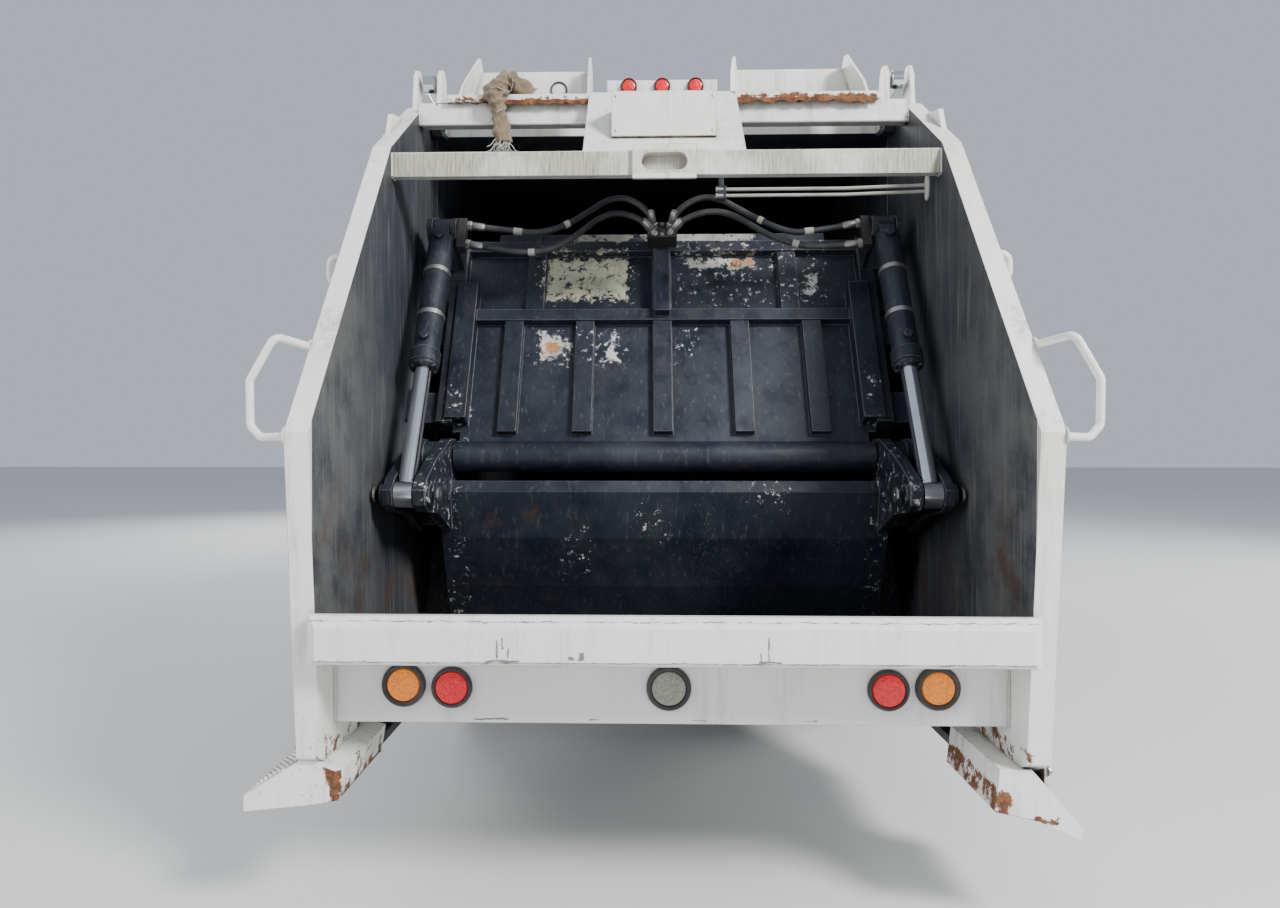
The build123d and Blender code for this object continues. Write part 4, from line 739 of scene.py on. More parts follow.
def build_lamp(name, place, lens_r, ring_r, surface, replaced):
    """A round lamp facing the rear: a domed lens in its rubber ring."""
    depth = LAMP_DEPTH
    ring = Shape()
    profile = [
        (0.0, ring_r),
        (depth * 0.55, ring_r),
        (depth * 0.88, ring_r - 0.004),
        (depth * 0.98, (ring_r + lens_r) / 2 + 0.001),
        (depth * 0.86, lens_r + 0.003),
        (depth * 0.55, lens_r + 0.0005),
        (0.0, lens_r + 0.0005),
    ]
    ring.lathe(place, -Y, profile, 56, closed=True)
    piece(name + "_ring", ring, "grommet", "tailgate", replaced=replaced)
    dome = Shape()
    face = depth * 0.80
    profile = [(0.001, lens_r), (face - 0.004, lens_r), (face - 0.001, lens_r * 0.96)]
    for share in (0.8, 0.6, 0.4, 0.2, 0.04):
        profile.append((face + 0.003 * (1 - share * share), lens_r * share))
    dome.lathe(place, -Y, profile, 56)
    piece(name + "_lens", dome, surface, "tailgate", replaced=replaced)


def make_lamps():
    for side, word in SIDES:
        amber = at(side * 0.900, LAMP_FACE, 0.806)
        build_lamp(f"amber_lamp_{word}", amber, 0.055, 0.0745, "amber", "lamps_amber")
        red = at(side * 0.736, LAMP_FACE, 0.798)
        build_lamp(f"red_lamp_{word}", red, 0.055, 0.0695, "red", "lamps_red")
    build_lamp("clear_lamp", at(0, LAMP_FACE, 0.800), 0.058, 0.0755, "clear", "lamp_clear")
    for i, word in enumerate(("left", "centre", "right")):
        place = at((i - 1) * 0.157, 1.530, 3.311)
        build_lamp(f"top_lamp_{word}", place, 0.031, 0.0385, "red", "lamps_red")


def make_tail_fittings():
    """Screws, bolts, weld beads and caps on the white frame of the tailgate."""
    screws = Shape()
    for x in (-0.205, 0.205):
        for z in (2.955, 3.100):
            screws.lathe(at(x, 1.085, z), -Y, [(0, 0.007), (0.002, 0.007), (0.0035, 0.004)], 12)
    for x in (-0.29, 0.27):
        screws.lathe(at(x, 1.115, 2.905), Vector((0, -0.62, 0.78)), [(0, 0.008), (0.004, 0.006)], 12)
    piece("box_screws", screws, "steel", "tailgate")
    plate = Shape()
    plate.box(at(-0.223, 1.0825, 2.932), at(0.223, 1.0848, 3.123))
    piece("blank_plate", plate, "tail_white", "tailgate", bevel=0.001)
    welds = Shape()
    for side in (-1, 1):
        x = side * 1.1385
        welds.weld(at(x, 0.992, BEAM_LOW), at(x, 0.992, 2.841), 0.005)
        welds.weld(at(x, 0.994, 2.7405), at(x, 1.040, 2.7405), 0.005)
        welds.weld(at(x, 0.060, 1.072), at(x, 0.060, 0.935), 0.005)
        welds.weld(at(x, 0.266, 0.680), at(x, 0.266, 0.915), 0.005)
        welds.weld(at(x, 1.470, 3.135), at(x, 1.470, 3.220), 0.005)
        welds.weld(at(side * 0.132, 0.990, BEAM_LOW), at(side * 0.132, 0.990, 2.841), 0.004)
        welds.weld(at(side * 0.340, 1.034, 2.845), at(side * 0.340, 1.498, 3.213), 0.004)
    piece("tail_welds", welds, "tail_white", "tailgate")
    caps = Shape()
    for side in (-1, 1):
        for along, z, radius in ((1.750, 3.215, 0.046), (1.615, 3.365, 0.040)):
            profile = [(0, radius), (0.010, radius), (0.013, radius - 0.004)]
            for x in (1.184, 1.092):
                caps.lathe(at(side * x, along, z), X * side, profile, 28)
    for side in (-1, 1):
        for along in (0.185, 0.355):
            for z in (0.560, 0.615):
                caps.bolt(at(side * 1.2295, along, z), X * side, 0.022)
    piece("tail_pins", caps, "steel", "tailgate")


def make_grab_roots():
    """Flanges where the bent tubes meet the walls."""
    flanges = Shape()
    for side in (-1, 1):
        for along, z in ((0.285, 1.952), (0.050, 1.648), (0.700, 2.245), (0.700, 2.348)):
            root = at(side * WALL_FACE_X, along, z)
            flanges.lathe(root, X * side, [(0, 0.030), (0.005, 0.030), (0.007, 0.024)], 24)
    piece("rail_flanges", flanges, "tail_white", "tailgate")


def make_step_tread():
    """Rows of punched teeth on both steps' tops."""
    tops = {"left": ((1.198, 0.594), (1.405, 0.466)), "right": ((1.166, 0.574), (1.336, 0.381))}
    pitch = 0.017
    for side, word in SIDES:
        teeth = Shape()
        start, end = (Vector((x, 0, z)) for x, z in tops[word])
        slope = (end - start).normalized()
        normal = Vector((-slope.z, 0, slope.x))
        for row in range(int(((end - start).length - 0.05) / pitch)):
            centre = start + slope * (0.045 + row * pitch)
            if centre.x < 1.232:
                continue
            reach = Vector((slope.x * side, 0, slope.z)) * 0.005
            up = Vector((normal.x * side, 0, normal.z)) * 0.005
            for i in range(15):
                low = at(side * centre.x, 0.165 + 0.030 * i, centre.z)
                teeth.prism([low - reach, low + reach, low + reach * 0.3 + up, low - reach * 0.3 + up], Y * 0.022)
        piece(f"step_teeth_{word}", teeth, "step_white", "tailgate", crease=20)


# Control points of the four hoses on the slide, as (x, up, back).
HOSE_END = 0.898
HOSE_ROUTES = {
    "hose_left_upper": [
        (-HOSE_END, 1.040, 0.300), (-0.724, 1.013, 0.300), (-0.607, 0.994, 0.300), (-0.516, 1.005, 0.300),
        (-0.426, 1.051, 0.298), (-0.336, 1.125, 0.294), (-0.262, 1.195, 0.288), (-0.180, 1.222, 0.280),
        (-0.100, 1.190, 0.262), (-0.048, 1.135, 0.236), (-0.040, 1.118, 0.190),
    ],
    "hose_left_lower": [
        (-HOSE_END, 0.935, 0.300), (-0.715, 0.892, 0.300), (-0.601, 0.880, 0.300), (-0.511, 0.896, 0.300),
        (-0.422, 0.953, 0.298), (-0.356, 1.022, 0.295), (-0.290, 1.090, 0.290), (-0.215, 1.130, 0.280),
        (-0.140, 1.125, 0.262), (-0.075, 1.100, 0.236), (-0.040, 1.082, 0.190),
    ],
    "hose_right_upper": [
        (HOSE_END, 1.040, 0.300), (0.646, 0.985, 0.300), (0.556, 0.997, 0.300), (0.447, 1.062, 0.298),
        (0.350, 1.135, 0.294), (0.270, 1.200, 0.288), (0.190, 1.222, 0.280), (0.105, 1.190, 0.262),
        (0.050, 1.135, 0.236), (0.040, 1.118, 0.190),
    ],
    "hose_right_lower": [
        (HOSE_END, 0.925, 0.300), (0.707, 0.899, 0.300), (0.574, 0.928, 0.300), (0.465, 0.985, 0.298),
        (0.380, 1.060, 0.295), (0.300, 1.115, 0.290), (0.220, 1.135, 0.280), (0.140, 1.125, 0.262),
        (0.075, 1.100, 0.236), (0.040, 1.082, 0.190),
    ],
}


def make_hoses():
    """The slide's four pressure hoses with their sleeves, ferrules, fittings, blocks and ports."""
    fittings, sleeves, blocks, ports = (Shape() for _ in range(4))
    ferrule = [(0.022, 0.0165), (0.026, 0.0185), (0.072, 0.0185), (0.076, 0.0165), (0.084, 0.0145)]
    hexagon = [(0.0, 0.020), (0.003, 0.0225), (0.019, 0.0225), (0.022, 0.020)]
    for name, points in HOSE_ROUTES.items():
        route = [packer(*point) for point in points]
        hose, line = add_curve(name, route, 0.014, "hose", "slide")
        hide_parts("packer_hoses")
        for share, way in ((0.0, 1), (1.0, -1)):
            place, direction = along_line(line, share)
            fittings.lathe(place, direction * way, ferrule, 24)
            fittings.lathe(place, direction * way, hexagon, 6)
        for span in ((0.22, 0.26), (0.46, 0.485)) if "upper" in name else ((0.30, 0.33),):
            start, stop = (along_line(line, share)[0] for share in span)
            sleeves.tube([start, start.lerp(stop, 0.5), stop], 0.0165, 20)
    low = packer(-0.070, 1.060, 0.110)
    across, back = X * 0.140, BACK * 0.080
    blocks.prism([low, low + across, low + across + back, low + back], UP * 0.090)
    for side in (-1, 1):
        low = packer(side * HOSE_END, 0.900, 0.275)
        across, back = X * side * 0.040, BACK * 0.050
        blocks.prism([low, low + across, low + across + back, low + back], UP * 0.165)
    for x in (-0.040, 0.040):
        for up in (1.082, 1.118):
            ports.lathe(packer(x, up, 0.189), BACK, [(0, 0.020), (0.006, 0.020), (0.008, 0.016)], 6)
    for up in (1.075, 1.135):
        ports.bolt(packer(0.0, up, 0.190), BACK, 0.014)
    for name, shape, surface, slot, bevel in (
        ("hose_fittings", fittings, "steel", "steel", 0.0),
        ("hose_sleeves", sleeves, "sleeve", "hose", 0.0),
        ("hose_blocks", blocks, "cast", "black_paint", 0.003),
        ("hose_ports", ports, "steel", "steel", 0.0),
    ):
        piece(name, shape, surface, "slide", bevel=bevel, replaced="packer_hoses")


def make_return_tubes():
    """The twin thin steel lines under the cross beam, from the right wall to their coupling."""
    tubes = Shape()
    for z, low_z in ((2.763, 2.748), (2.735, 2.721)):
        bend = at(0.80, 1.270, (z + low_z) / 2)
        tubes.tube([at(0.246, 1.300, z), at(0.330, 1.300, z), bend, at(1.139, 1.200, low_z)], 0.0075, 16)
    for z in (2.763, 2.735):
        tubes.lathe(at(0.236, 1.300, z), X, [(0, 0.011), (0.030, 0.011), (0.034, 0.009)], 6)
    piece("return_tubes", tubes, "sleeve", "tailgate")
    plate = Shape()
    outline = [at(1.1398, 1.179 + 0.028 * cos(angle), 2.733 + 0.058 * sin(angle)) for angle in round_turn(32)]
    plate.prism(outline, X * -0.008)
    piece("tube_plate", plate, "tail_white", "tailgate", bevel=0.0015)
    clip = Shape()
    clip.slab(at(0.262, 1.318, 2.749), X * 0.020, Y * 0.026, Z * 0.030)
    clip.slab(at(0.262, 1.330, 2.800), X * 0.012, Y * 0.004, Z * 0.080)
    clip.slab(at(0.262, 1.190, 2.866), X * 0.014, Y * 0.150, Z * 0.004)
    piece("tube_clip", clip, "frame_black", "tailgate", bevel=0.002)


def make_bundle():
    """Cables wrapped in torn canvas, lying over the left tray's lip and hanging down behind it."""
    spine = [
        at(-0.640, 1.530, 3.262), at(-0.700, 1.500, 3.330), at(-0.745, 1.462, 3.318), at(-0.775, 1.420, 3.255),
        at(-0.762, 1.412, 3.190), at(-0.745, 1.416, 3.110), at(-0.735, 1.420, 3.020),
    ]
    holder, line = smooth_line("bundle_line", spine, 14)
    bpy.data.objects.remove(holder)
    rng = random.Random(7)
    phases = [rng.uniform(0, TURN) for _ in range(6)]
    rings = []
    for point, side, other, share in frames(line):
        base = 0.044 + 0.009 * sin(share * 11 + phases[0])
        base += 0.014 * max(0.0, 1 - share * 2.5) - 0.008 * share
        ring = []
        for angle in round_turn(36):
            fold = 0.16 * sin(2 * angle + share * 17 + phases[1])
            fold += 0.12 * sin(5 * angle - share * 31 + phases[2])
            crease = 0.11 * sin(share * 70 + 3 * sin(angle + phases[3]))
            crease += 0.06 * sin(9 * angle + share * 44)
            ring.append(point + spoke(side, other, angle) * base * (1 + fold + crease))
        rings.append(ring)
    piece("cable_wrap", Shape().rings(rings), "canvas", "tailgate", crease=60)
    frayed = Shape()
    for _ in range(34):
        start = line[-1] + Vector((rng.uniform(-0.025, 0.025), rng.uniform(-0.02, 0.02), rng.uniform(0.0, 0.05)))
        path = [start]
        drift = Vector((rng.uniform(-0.5, 0.5), rng.uniform(-0.4, 0.2), -1)).normalized()
        for _ in range(6):
            turn = Vector((rng.uniform(-0.5, 0.5), rng.uniform(-0.4, 0.3), rng.uniform(-0.3, 0.3)))
            drift = (drift + turn).normalized()
            path.append(path[-1] + drift * 0.018)
        frayed.tube(path, 0.0022, 6)
    piece("frayed_end", frayed, "string", "tailgate")
    lace = Shape()
    for start, stop in ((0.12, 0.30), (0.45, 0.62), (0.70, 0.86)):
        first = int(start * (len(line) - 1))
        last = int(stop * (len(line) - 1))
        path = []
        for i in range(first, last + 1):
            spot = int((i - first) * 0.55 / TURN * 36) % 36
            path.append(line[i] + (rings[i][spot] - line[i]) * 1.04)
        lace.tube(path, 0.0022, 6)
    piece("wrap_lace", lace, "string", "tailgate")


def make_tray_fittings():
    """A round grommet, a small stud and the torn rusty lips on the trays."""
    bits = Shape()
    ring = [(0, 0.042), (0.004, 0.042), (0.006, 0.038), (0.004, 0.034), (0, 0.034)]
    bits.lathe(at(-0.500, 1.6595, 3.350), -Y, ring, 28, closed=True)
    bits.lathe(at(-0.575, 1.600, 3.236), Z, [(0, 0.018), (0.030, 0.018), (0.034, 0.010), (0.052, 0.010)], 16)
    piece("tray_grommet", bits, "grommet", "tailgate")
    rng = random.Random(21)
    for word, side, reach in (("left", -1, 0.62), ("right", 1, 1.0)):
        lip = Shape()
        x = LIP_INNER
        rings = []
        while x < LIP_INNER + (LIP_OUTER - LIP_INNER) * reach:
            droop = rng.uniform(0.0, 0.012)
            upper = at(side * x, 1.4395, 3.226 + rng.uniform(-0.004, 0.003))
            lower = at(side * x, 1.4385 - droop, 3.206 - rng.uniform(0, 0.012) + droop * 0.4)
            rings.append([upper, lower, lower + Y * 0.0025, upper + Y * 0.0025])
            x += rng.uniform(0.012, 0.03)
        for pair in zip(rings, rings[1:]):
            lip.rings(pair)
        piece(f"torn_lip_{word}", lip, "rust", "tailgate", crease=25)


def make_sweep_fittings():
    """Glands, ports, bands and pins of the two sweep cylinders."""
    base = packer(0, 1.010, 0.310)
    eye = Vector((0, BLADE_HINGE.y - 0.505, BLADE_HINGE.z - 0.140))
    axis = (eye - base).normalized()
    for side, word in SIDES:
        x = X * (side * SWEEP_X)
        gland = Shape()
        place = base + x + axis * (SWEEP_BARREL - 0.002)
        profile = [(0, 0.060), (0.016, 0.060), (0.020, 0.055), (0.020, 0.0375), (0.0, 0.0375)]
        gland.lathe(place, axis, profile, 40, closed=True)
        for i in range(6):
            around = spoke(*square_to(axis), radians(30 + 60 * i))
            gland.bolt(place + axis * 0.016 + around * 0.049, axis, 0.011)
        away = (BACK - axis * BACK.dot(axis)).normalized()
        for distance in (0.090, SWEEP_BARREL - 0.110):
            port = base + x + axis * distance
            gland.lathe(port + away * 0.052, away, [(0, 0.020), (0.020, 0.020), (0.024, 0.016)], 20)
        piece(f"sweep_gland_{word}", gland, "packer_black", "sweep_barrels")
        band = Shape()
        for distance in (0.26, 0.50):
            profile = [(0, 0.0575), (0, 0.0605), (0.022, 0.0605), (0.022, 0.0575)]
            band.lathe(base + x + axis * distance, axis, profile, 40, closed=True)
        piece(f"sweep_band_{word}", band, "steel", "sweep_barrels")
        bush = Shape()
        for part_x, out in ((1.118, 1), (0.878, -1)):
            at_pin = eye + X * (side * part_x)
            bush.lathe(at_pin, X * (side * out), [(0, 0.030), (0.008, 0.030), (0.010, 0.026)], 28)
            bush.bolt(at_pin, X * (side * out), 0.018)
        piece(f"sweep_pin_{word}", bush, "steel", "blade")


def make_slide_fittings():
    """The bolts of the blade's wear edge, and the weld beads and strap of the slide."""
    wear = Shape()
    tip = Vector((0, BLADE_HINGE.y + 0.262, BLADE_HINGE.z - 0.895))
    top = Vector((0, BLADE_HINGE.y + 0.060, BLADE_HINGE.z - 0.578))
    down = (tip - top).normalized()
    out = Vector((0, down.z, -down.y))
    for i in range(15):
        wear.bolt(top + X * (-0.77 + i * 0.11) + down * 0.290, out, 0.022)
    piece("blade_bolts", wear, "packer_black", "blade")
    welds = Shape()
    for low, high, ribs in ((0.10, 0.678, (-0.690, -0.359, 0.0, 0.359, 0.690)), (0.742, 1.078, (-0.600, 0.0, 0.600))):
        for x in ribs:
            for edge in (x - 0.0435, x + 0.0435):
                welds.weld(packer(edge, low, SLIDE_RIB_FACE), packer(edge, high, SLIDE_RIB_FACE), 0.004)
    for up in (0.679, 0.741, 1.079):
        welds.weld(packer(-0.93, up, SLIDE_RIB_FACE), packer(0.93, up, SLIDE_RIB_FACE), 0.004)
    piece("slide_welds", welds, "packer_black", "slide")
    strap = Shape()
    strap.slab(packer(-0.600, 1.090, 0.066), X * 0.016, UP * 0.048, BACK * 0.003)
    strap.slab(packer(-0.600, 1.150, 0.040), X * 0.016, UP * 0.070, BACK * 0.003)
    piece("slide_strap", strap, "packer_black", "slide", bevel=0.001)


def make_rest_cylinders():
    """Gland rings and ports of the slide's and the tailgate's cylinders."""
    for side, word in SIDES:
        x = side * 1.075
        gland = Shape()
        profile = [(0, 0.0445), (0, 0.050), (0.022, 0.050), (0.024, 0.046), (0.024, 0.030), (0, 0.030)]
        gland.lathe(packer(x, 0.722, -0.262), UP, profile, 36, closed=True)
        piece(f"slide_gland_{word}", gland, "packer_black", "tailgate")
        lift = Shape()
        base = at(side * 1.123, 2.900, 3.345)
        eye = at(side * 1.123, 1.615, 3.365)
        axis = (eye - base).normalized()
        profile = [(0, 0.056), (0.014, 0.056), (0.018, 0.050), (0.018, 0.030), (0, 0.030)]
        lift.lathe(base + axis * 0.757, axis, profile, 36, closed=True)
        for distance in (0.085, 0.650):
            lift.lathe(base + axis * distance + Z * 0.045, Z, [(0, 0.018), (0.018, 0.018), (0.022, 0.014)], 16)
        piece(f"lift_gland_{word}", lift, "frame_black", "lift_barrels")


def tyre_form(centre, half, radius, rim):
    """A truck tyre about the x axis: grooved crown, cut shoulders and rounded walls."""
    crown = radius - 0.0015
    groove = crown - 0.013
    section = []
    for x, r, cut in (
        (-0.80, rim, 0), (-0.90, rim + 0.020, 0), (-0.985, rim + 0.075, 0), (-1.0, rim + 0.115, 0),
        (-0.975, rim + 0.150, 0), (-0.945, radius - 0.058, 0), (-0.925, radius - 0.040, 1),
        (-0.90, radius - 0.012, 1),
        (-0.86, crown - 0.002, 1), (-0.66, crown, 1), (-0.64, groove, 0), (-0.56, groove, 0), (-0.54, crown, 2),
        (-0.26, crown, 2), (-0.24, groove, 0), (-0.16, groove, 0), (-0.14, crown, 3), (0.14, crown, 3),
    ):
        section.append((x * half, r, cut))
    for x, r, cut in reversed(section[:-2]):
        section.append((-x, r, cut))
    rings = []
    steps = 56 * 4
    for i, angle in enumerate(round_turn(steps)):
        ring = []
        for x, r, cut in section:
            shift = (0, 0, 2, 1)[cut]
            if cut and (i + shift) % 4 == 0:
                r = r - (0.011 if cut == 1 else 0.006)
            ring.append(centre + Vector((x, r * cos(angle), r * sin(angle))))
        rings.append(ring)
    return rings


def make_wheels():
    """Tyres with their tread, wheel nuts, the front hubs' caps and the flanges' bolts."""
    for place in ("front", "middle", "rear"):
        for side, word in SIDES:
            low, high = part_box(f"tyre_{place}_{word}")
            middle = (low + high) / 2
            tyres = Shape()
            for x in (SINGLE_X,) if place == "front" else TWIN_X:
                centre = Vector((side * x, middle.y, WHEEL_Z))
                tyres.rings(tyre_form(centre, TYRE_HALF, TYRE_RADIUS, RIM_RADIUS), closed=True)
            body = f"{place}_wheel_{word}"
            node = f"tyre_{place}_{word}"
            piece(f"tread_{place}_{word}", tyres, "tyre", body, crease=30, replaced=node)
            face = 1.120 if place == "front" else 0.924
            nuts = Shape()
            out = X * side
            hub = Vector((side * face, middle.y, WHEEL_Z))
            for i in range(10):
                angle = radians(36 * i + 18)
                spot = hub + spoke(Y, Z, angle) * STUD_CIRCLE
                nuts.bolt(spot, out, 0.033)
                nuts.lathe(spot, out, [(0.018, 0.011), (0.040, 0.011), (0.043, 0.008)], 14)
            if place == "front":
                cap = [(0, 0.069), (0.006, 0.069), (0.010, 0.063), (0.014, 0.0345), (0.015, 0.01)]
                nuts.lathe(Vector((side * 1.205, middle.y, WHEEL_Z)), out, cap, 32)
            flange = Vector((side * (1.180 if place == "front" else 1.100), middle.y, WHEEL_Z))
            for i in range(8):
                angle = radians(45 * i + 10)
                nuts.bolt(flange + spoke(Y, Z, angle) * FLANGE_CIRCLE, out, 0.018)
            piece(f"wheel_nuts_{place}_{word}", nuts, "steel", body)


def padded_form(corners, thick, normal):
    """A plain closed pad over four corners, drawn in a little at its top and bottom."""
    steps = 12
    centre = sum(corners, Vector()) / 4
    outline = []
    for i, start in enumerate(corners):
        end = corners[(i + 1) % 4]
        outline += [start.lerp(end, step / steps) for step in range(steps)]
    rings = []
    for lift, pull in ((-0.5, 0.018), (-0.25, 0.0), (0.25, 0.0), (0.5, 0.018)):
        rings.append([point - (point - centre).normalized() * pull + normal * (lift * thick) for point in outline])
    return Shape().rings(rings)


def stuffed(obj):
    """Remeshes a closed pad, swells it by cloth pressure and caps how far each point moves."""
    remesh = obj.modifiers.new("even", "REMESH")
    remesh.mode = "VOXEL"
    remesh.voxel_size = PAD_VOXEL
    remesh.use_smooth_shade = True
    apply_modifiers(obj)
    before = [vertex.co.copy() for vertex in obj.data.vertices]
    cloth = obj.modifiers.new("swell", "CLOTH")
    cloth.settings.use_pressure = True
    cloth.settings.uniform_pressure_force = PAD_PRESSURE
    cloth.settings.effector_weights.gravity = 0
    cloth.settings.tension_stiffness = 25
    cloth.point_cache.frame_start = 1
    cloth.point_cache.frame_end = 20
    scene = bpy.context.scene
    for step in range(1, 21):
        scene.frame_set(step)
        bpy.context.view_layer.update()
    apply_modifiers(obj)
    scene.frame_set(1)
    for vertex, start in zip(obj.data.vertices, before):
        move = vertex.co - start
        if move.length > PAD_REACH:
            vertex.co = start + move.normalized() * PAD_REACH
    obj.data.update()


def apply_modifiers(obj):
    graph = bpy.context.evaluated_depsgraph_get()
    mesh = bpy.data.meshes.new_from_object(obj.evaluated_get(graph))
    obj.modifiers.clear()
    old = obj.data
    obj.data = mesh
    bpy.data.meshes.remove(old)


def make_seats():
    """Two stuffed seats on their pedestals."""
    for side, word in SIDES:
        x = side * SEAT_X
        base = Shape()
        base.box(at(x - 0.185, SEAT_REAR + 0.050, 1.166), at(x + 0.185, SEAT_REAR + 0.480, 1.395))
        base.box(at(x - 0.240, SEAT_REAR + 0.010, 1.395), at(x + 0.240, SEAT_REAR + 0.530, 1.418))
        piece(f"seat_base_{word}", base, "plastic", "chassis", bevel=0.010, replaced="seats")
        u = X * SEAT_HALF
        back_edge = at(x, SEAT_REAR + 0.030, 1.490)
        front_edge = at(x, SEAT_REAR + 0.520, 1.490)
        cushion = padded_form([back_edge - u, front_edge - u, front_edge + u, back_edge + u], 0.110, Z)
        low = at(x, SEAT_REAR + 0.075, 1.580)
        high = at(x, SEAT_REAR - 0.030, 2.120)
        lean = (high - low).normalized()
        normal = lean.cross(X).normalized()
        rest = padded_form([low - u, low + u, high + u * 0.9, high - u * 0.9], 0.090, normal)
        for kind, shape in (("cushion", cushion), ("back", rest)):
            obj = piece(f"seat_{kind}_{word}", shape, "seat_cloth", "chassis", crease=80)
            stuffed(obj)
            obj.data.materials.clear()
            obj.data.materials.append(SURFACES["seat_cloth"])
            soft = obj.modifiers.new("smooth", "SUBSURF")
            soft.levels = 1
            soft.render_levels = 1
            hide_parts("seats")


def pane_outline(node, direction):
    """The corners in order and the normal of a node's largest flat side towards a direction."""
    obj = nodes[node]
    mesh = obj.data
    facing = [face for face in mesh.polygons if face.normal.dot(direction) > 0.7]
    normal = max(facing, key=lambda face: face.area).normal.copy()
    level = max(facing, key=lambda face: face.area).center.dot(normal)
    corners = {}
    for face in facing:
        for i in face.vertices:
            point = mesh.vertices[i].co
            if face.normal.dot(normal) > 0.999 and abs(point.dot(normal) - level) < 0.0005:
                corners[tuple(round(value, 3) for value in point)] = point.copy()
    points = list(corners.values())
    centre = sum(points, Vector()) / len(points)
    side, other = square_to(normal)
    points.sort(key=lambda point: atan2((point - centre).dot(other), (point - centre).dot(side)))
    sharp = []
    for i, point in enumerate(points):
        before = (point - points[i - 1]).normalized()
        after = (points[(i + 1) % len(points)] - point).normalized()
        if before.dot(after) < 0.995:
            sharp.append(obj.matrix_world @ point)
    return sharp, normal


def make_gaskets():
    """Rubber strips round the windscreen, the rear window and the door glass."""
    for name, node, direction, body in (
        ("windscreen_gasket", "cab_glass", Y, "chassis"),
        ("rear_window_gasket", "cab_glass", -Y, "chassis"),
        ("door_gasket_left", "door_glass_left", -X, "door_left"),
        ("door_gasket_right", "door_glass_right", X, "door_right"),
    ):
        corners, normal = pane_outline(node, direction)
        strip = Shape().strip([corner + normal * 0.004 for corner in corners], normal, 0.017, 0.012)
        piece(name, strip, "plastic", body, crease=60)


def make_mirrors():
    """The glass of the square mirrors and of the round ones below them."""
    mirrors, round_glass = Shape(), Shape()
    profile = [(0, 0.078), (0.002, 0.076), (0.005, 0.04), (0.006, 0.005)]
    for side in (-1, 1):
        mirrors.box(at(side * MIRROR_X - 0.100, 9.3815, 1.992), at(side * MIRROR_X + 0.100, 9.3838, 2.428))
        round_glass.lathe(at(side * MIRROR_X, 9.3842, 1.870), -Y, profile, 36)
    piece("mirror_glass", mirrors, "mirror", "chassis", bevel=0.001)
    piece("round_mirror_glass", round_glass, "mirror", "chassis")


def make_cab_lamps():
    """Headlamps, grille slats, and the marker lamps on the roof and along the body."""
    lamps, bowls = Shape(), Shape()
    for x in (-0.790, -0.915, 0.790, 0.915):
        bowls.lathe(at(x, 9.4335, 0.725), Y, [(0, 0.056), (0.006, 0.056), (0.008, 0.050)], 40)
        lamps.lathe(at(x, 9.4360, 0.725), Y, [(0, 0.049), (0.004, 0.048), (0.008, 0.030), (0.0095, 0.005)], 40)
    piece("headlamp_bowls", bowls, "chrome", "chassis")
    piece("headlamp_lenses", lamps, "glass", "chassis")
    slats = Shape()
    low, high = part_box("grille")
    for i in range(7):
        z = low.z + (high.z - low.z) * (i + 0.5) / 7
        slats.slab(Vector((0, high.y - 0.004, z)), X * ((high.x - low.x) / 2 - 0.012), Y * 0.0035, Z * 0.009)
    piece("grille_slats", slats, "trim", "chassis", bevel=0.002)
    markers = Shape()
    profile = [(0, 0.030), (0.014, 0.030), (0.026, 0.020), (0.030, 0.004)]
    for x in (-0.75, -0.25, 0.0, 0.25, 0.75):
        markers.lathe(at(x, 9.070, 2.786), Vector((0, 0.45, 1)), profile, 20)
    piece("roof_markers", markers, "amber", "chassis")
    sides = Shape()
    profile = [(0, 0.026), (0.006, 0.026), (0.010, 0.018), (0.011, 0.003)]
    for side in (-1, 1):
        for along in (2.20, 4.60, 6.95):
            sides.lathe(at(side * WALL_FACE_X, along, 1.230), X * side, profile, 24)
    piece("side_markers", sides, "amber", "chassis")


def make_wipers():
    """Two wipers on the windscreen's own plane."""
    corners, normal = pane_outline("cab_glass", Y)
    sill = min(corner.z for corner in corners)

    def on_screen(x, z, off):
        y = corners[0].y - (normal.x * (x - corners[0].x) + normal.z * (z - corners[0].z)) / normal.y
        return Vector((x, y, z)) + normal * off

    wipers = Shape()
    for x in (-0.62, 0.06):
        pivot = on_screen(x, sill - 0.045, 0.026)
        tip = on_screen(x + 0.36, sill + 0.070, 0.018)
        run = (on_screen(x + 0.70, sill + 0.100, 0.0) - on_screen(x + 0.02, sill + 0.040, 0.0)).normalized()
        wipers.lathe(pivot - normal * 0.006, normal, [(0, 0.020), (0.024, 0.020), (0.030, 0.012)], 20)
        wipers.tube([pivot + normal * 0.014, pivot.lerp(tip, 0.5) + normal * 0.016, tip], 0.007, 10)
        wipers.slab(tip - normal * 0.007, run * 0.300, normal * 0.008, run.cross(normal) * 0.005)
    piece("wipers", wipers, "plastic", "chassis")


def make_door_handles():
    for side, word in SIDES:
        handle = Shape()
        bends = ((1.176, 8.640), (1.198, 8.650), (1.200, 8.760), (1.176, 8.770))
        handle.tube([at(side * x, along, 1.500) for x, along in bends], 0.009, 12)
        handle.slab(at(side * 1.1765, 8.705, 1.500), X * 0.002, Y * 0.090, Z * 0.028)
        piece(f"door_handle_{word}", handle, "plastic", f"door_{word}")


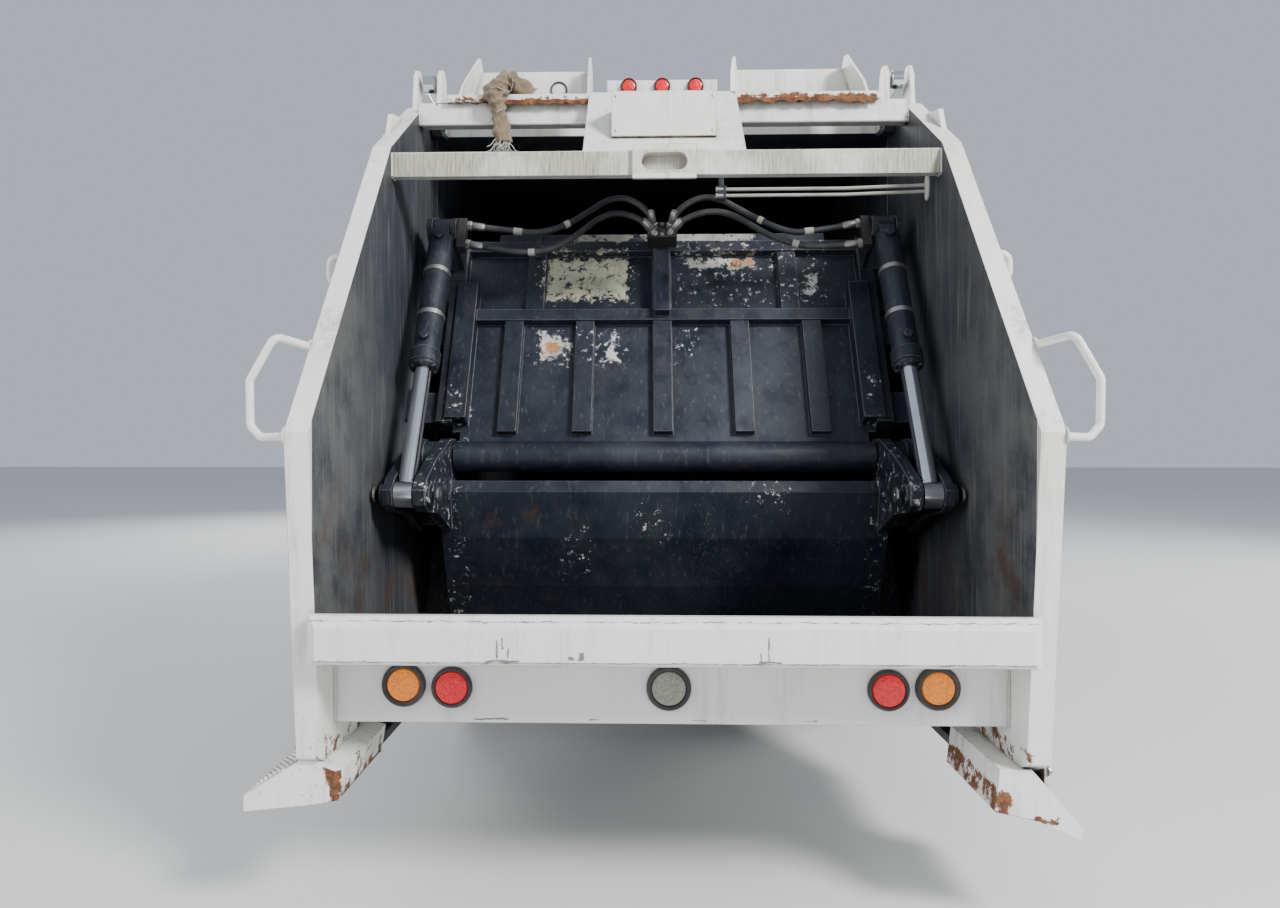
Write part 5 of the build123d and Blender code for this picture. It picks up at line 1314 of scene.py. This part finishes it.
def make_stage():
    """A plain pale floor and soft light."""
    bpy.ops.mesh.primitive_plane_add(size=120)
    floor = bpy.context.object
    floor.name = "floor"
    pale = Surface("pale_floor").done((0.62, 0.62, 0.61), 0.85)
    floor.data.materials.append(pale)
    world = bpy.data.worlds.new("studio")
    bpy.context.scene.world = world
    world.use_nodes = True
    sky = world.node_tree.nodes["Background"]
    sky.inputs["Color"].default_value = (0.80, 0.87, 1.0, 1)
    sky.inputs["Strength"].default_value = 0.62
    for name, place, aim, size, watts in (
        ("key", (7.5, -11.5, 9.0), (0, -4.0, 1.6), 3.0, 2700),
        ("fill", (-9.0, -8.5, 5.0), (0, -3.5, 1.5), 7.0, 620),
        ("front", (-6.0, 12.0, 8.0), (0, 3.5, 1.5), 6.0, 1300),
        ("side", (11.0, 3.0, 7.0), (0, 1.0, 1.5), 7.0, 900),
    ):
        data = bpy.data.lights.new(name, "AREA")
        data.size = size
        data.energy = watts
        lamp = linked(name, data)
        lamp.location = place
        lamp.rotation_euler = (Vector(aim) - Vector(place)).to_track_quat("-Z", "Y").to_euler()


# The photograph's camera, fitted to the tailgate: focal length in pixels, and where its axis meets the picture
PHOTO_WIDTH = 1280
FOCAL_PIXELS = 923
AXIS_PIXEL_X = 620
SENSOR = 0.036


def make_camera():
    data = bpy.data.cameras.new("camera")
    camera = linked("camera", data)
    data.sensor_width = SENSOR * 1000
    data.lens = SENSOR * 1000 * FOCAL_PIXELS / PHOTO_WIDTH
    data.shift_x = (PHOTO_WIDTH / 2 - AXIS_PIXEL_X) / PHOTO_WIDTH
    camera.location = (-0.081, -7.573, 1.620)
    turn = Matrix.Rotation(radians(1.54), 3, "Z") @ Matrix.Rotation(radians(90 - 0.55), 3, "X")
    camera.rotation_euler = turn.to_euler()
    bpy.context.scene.camera = camera


make_camera()
make_surfaces()
make_hoses()
make_stage()
dress_nodes()
make_lamps()
make_tail_fittings()
make_grab_roots()
make_step_tread()
make_return_tubes()
make_bundle()
make_tray_fittings()
make_sweep_fittings()
make_slide_fittings()
make_rest_cylinders()
make_wheels()
make_gaskets()
make_mirrors()
make_cab_lamps()
make_wipers()
make_door_handles()
make_seats()
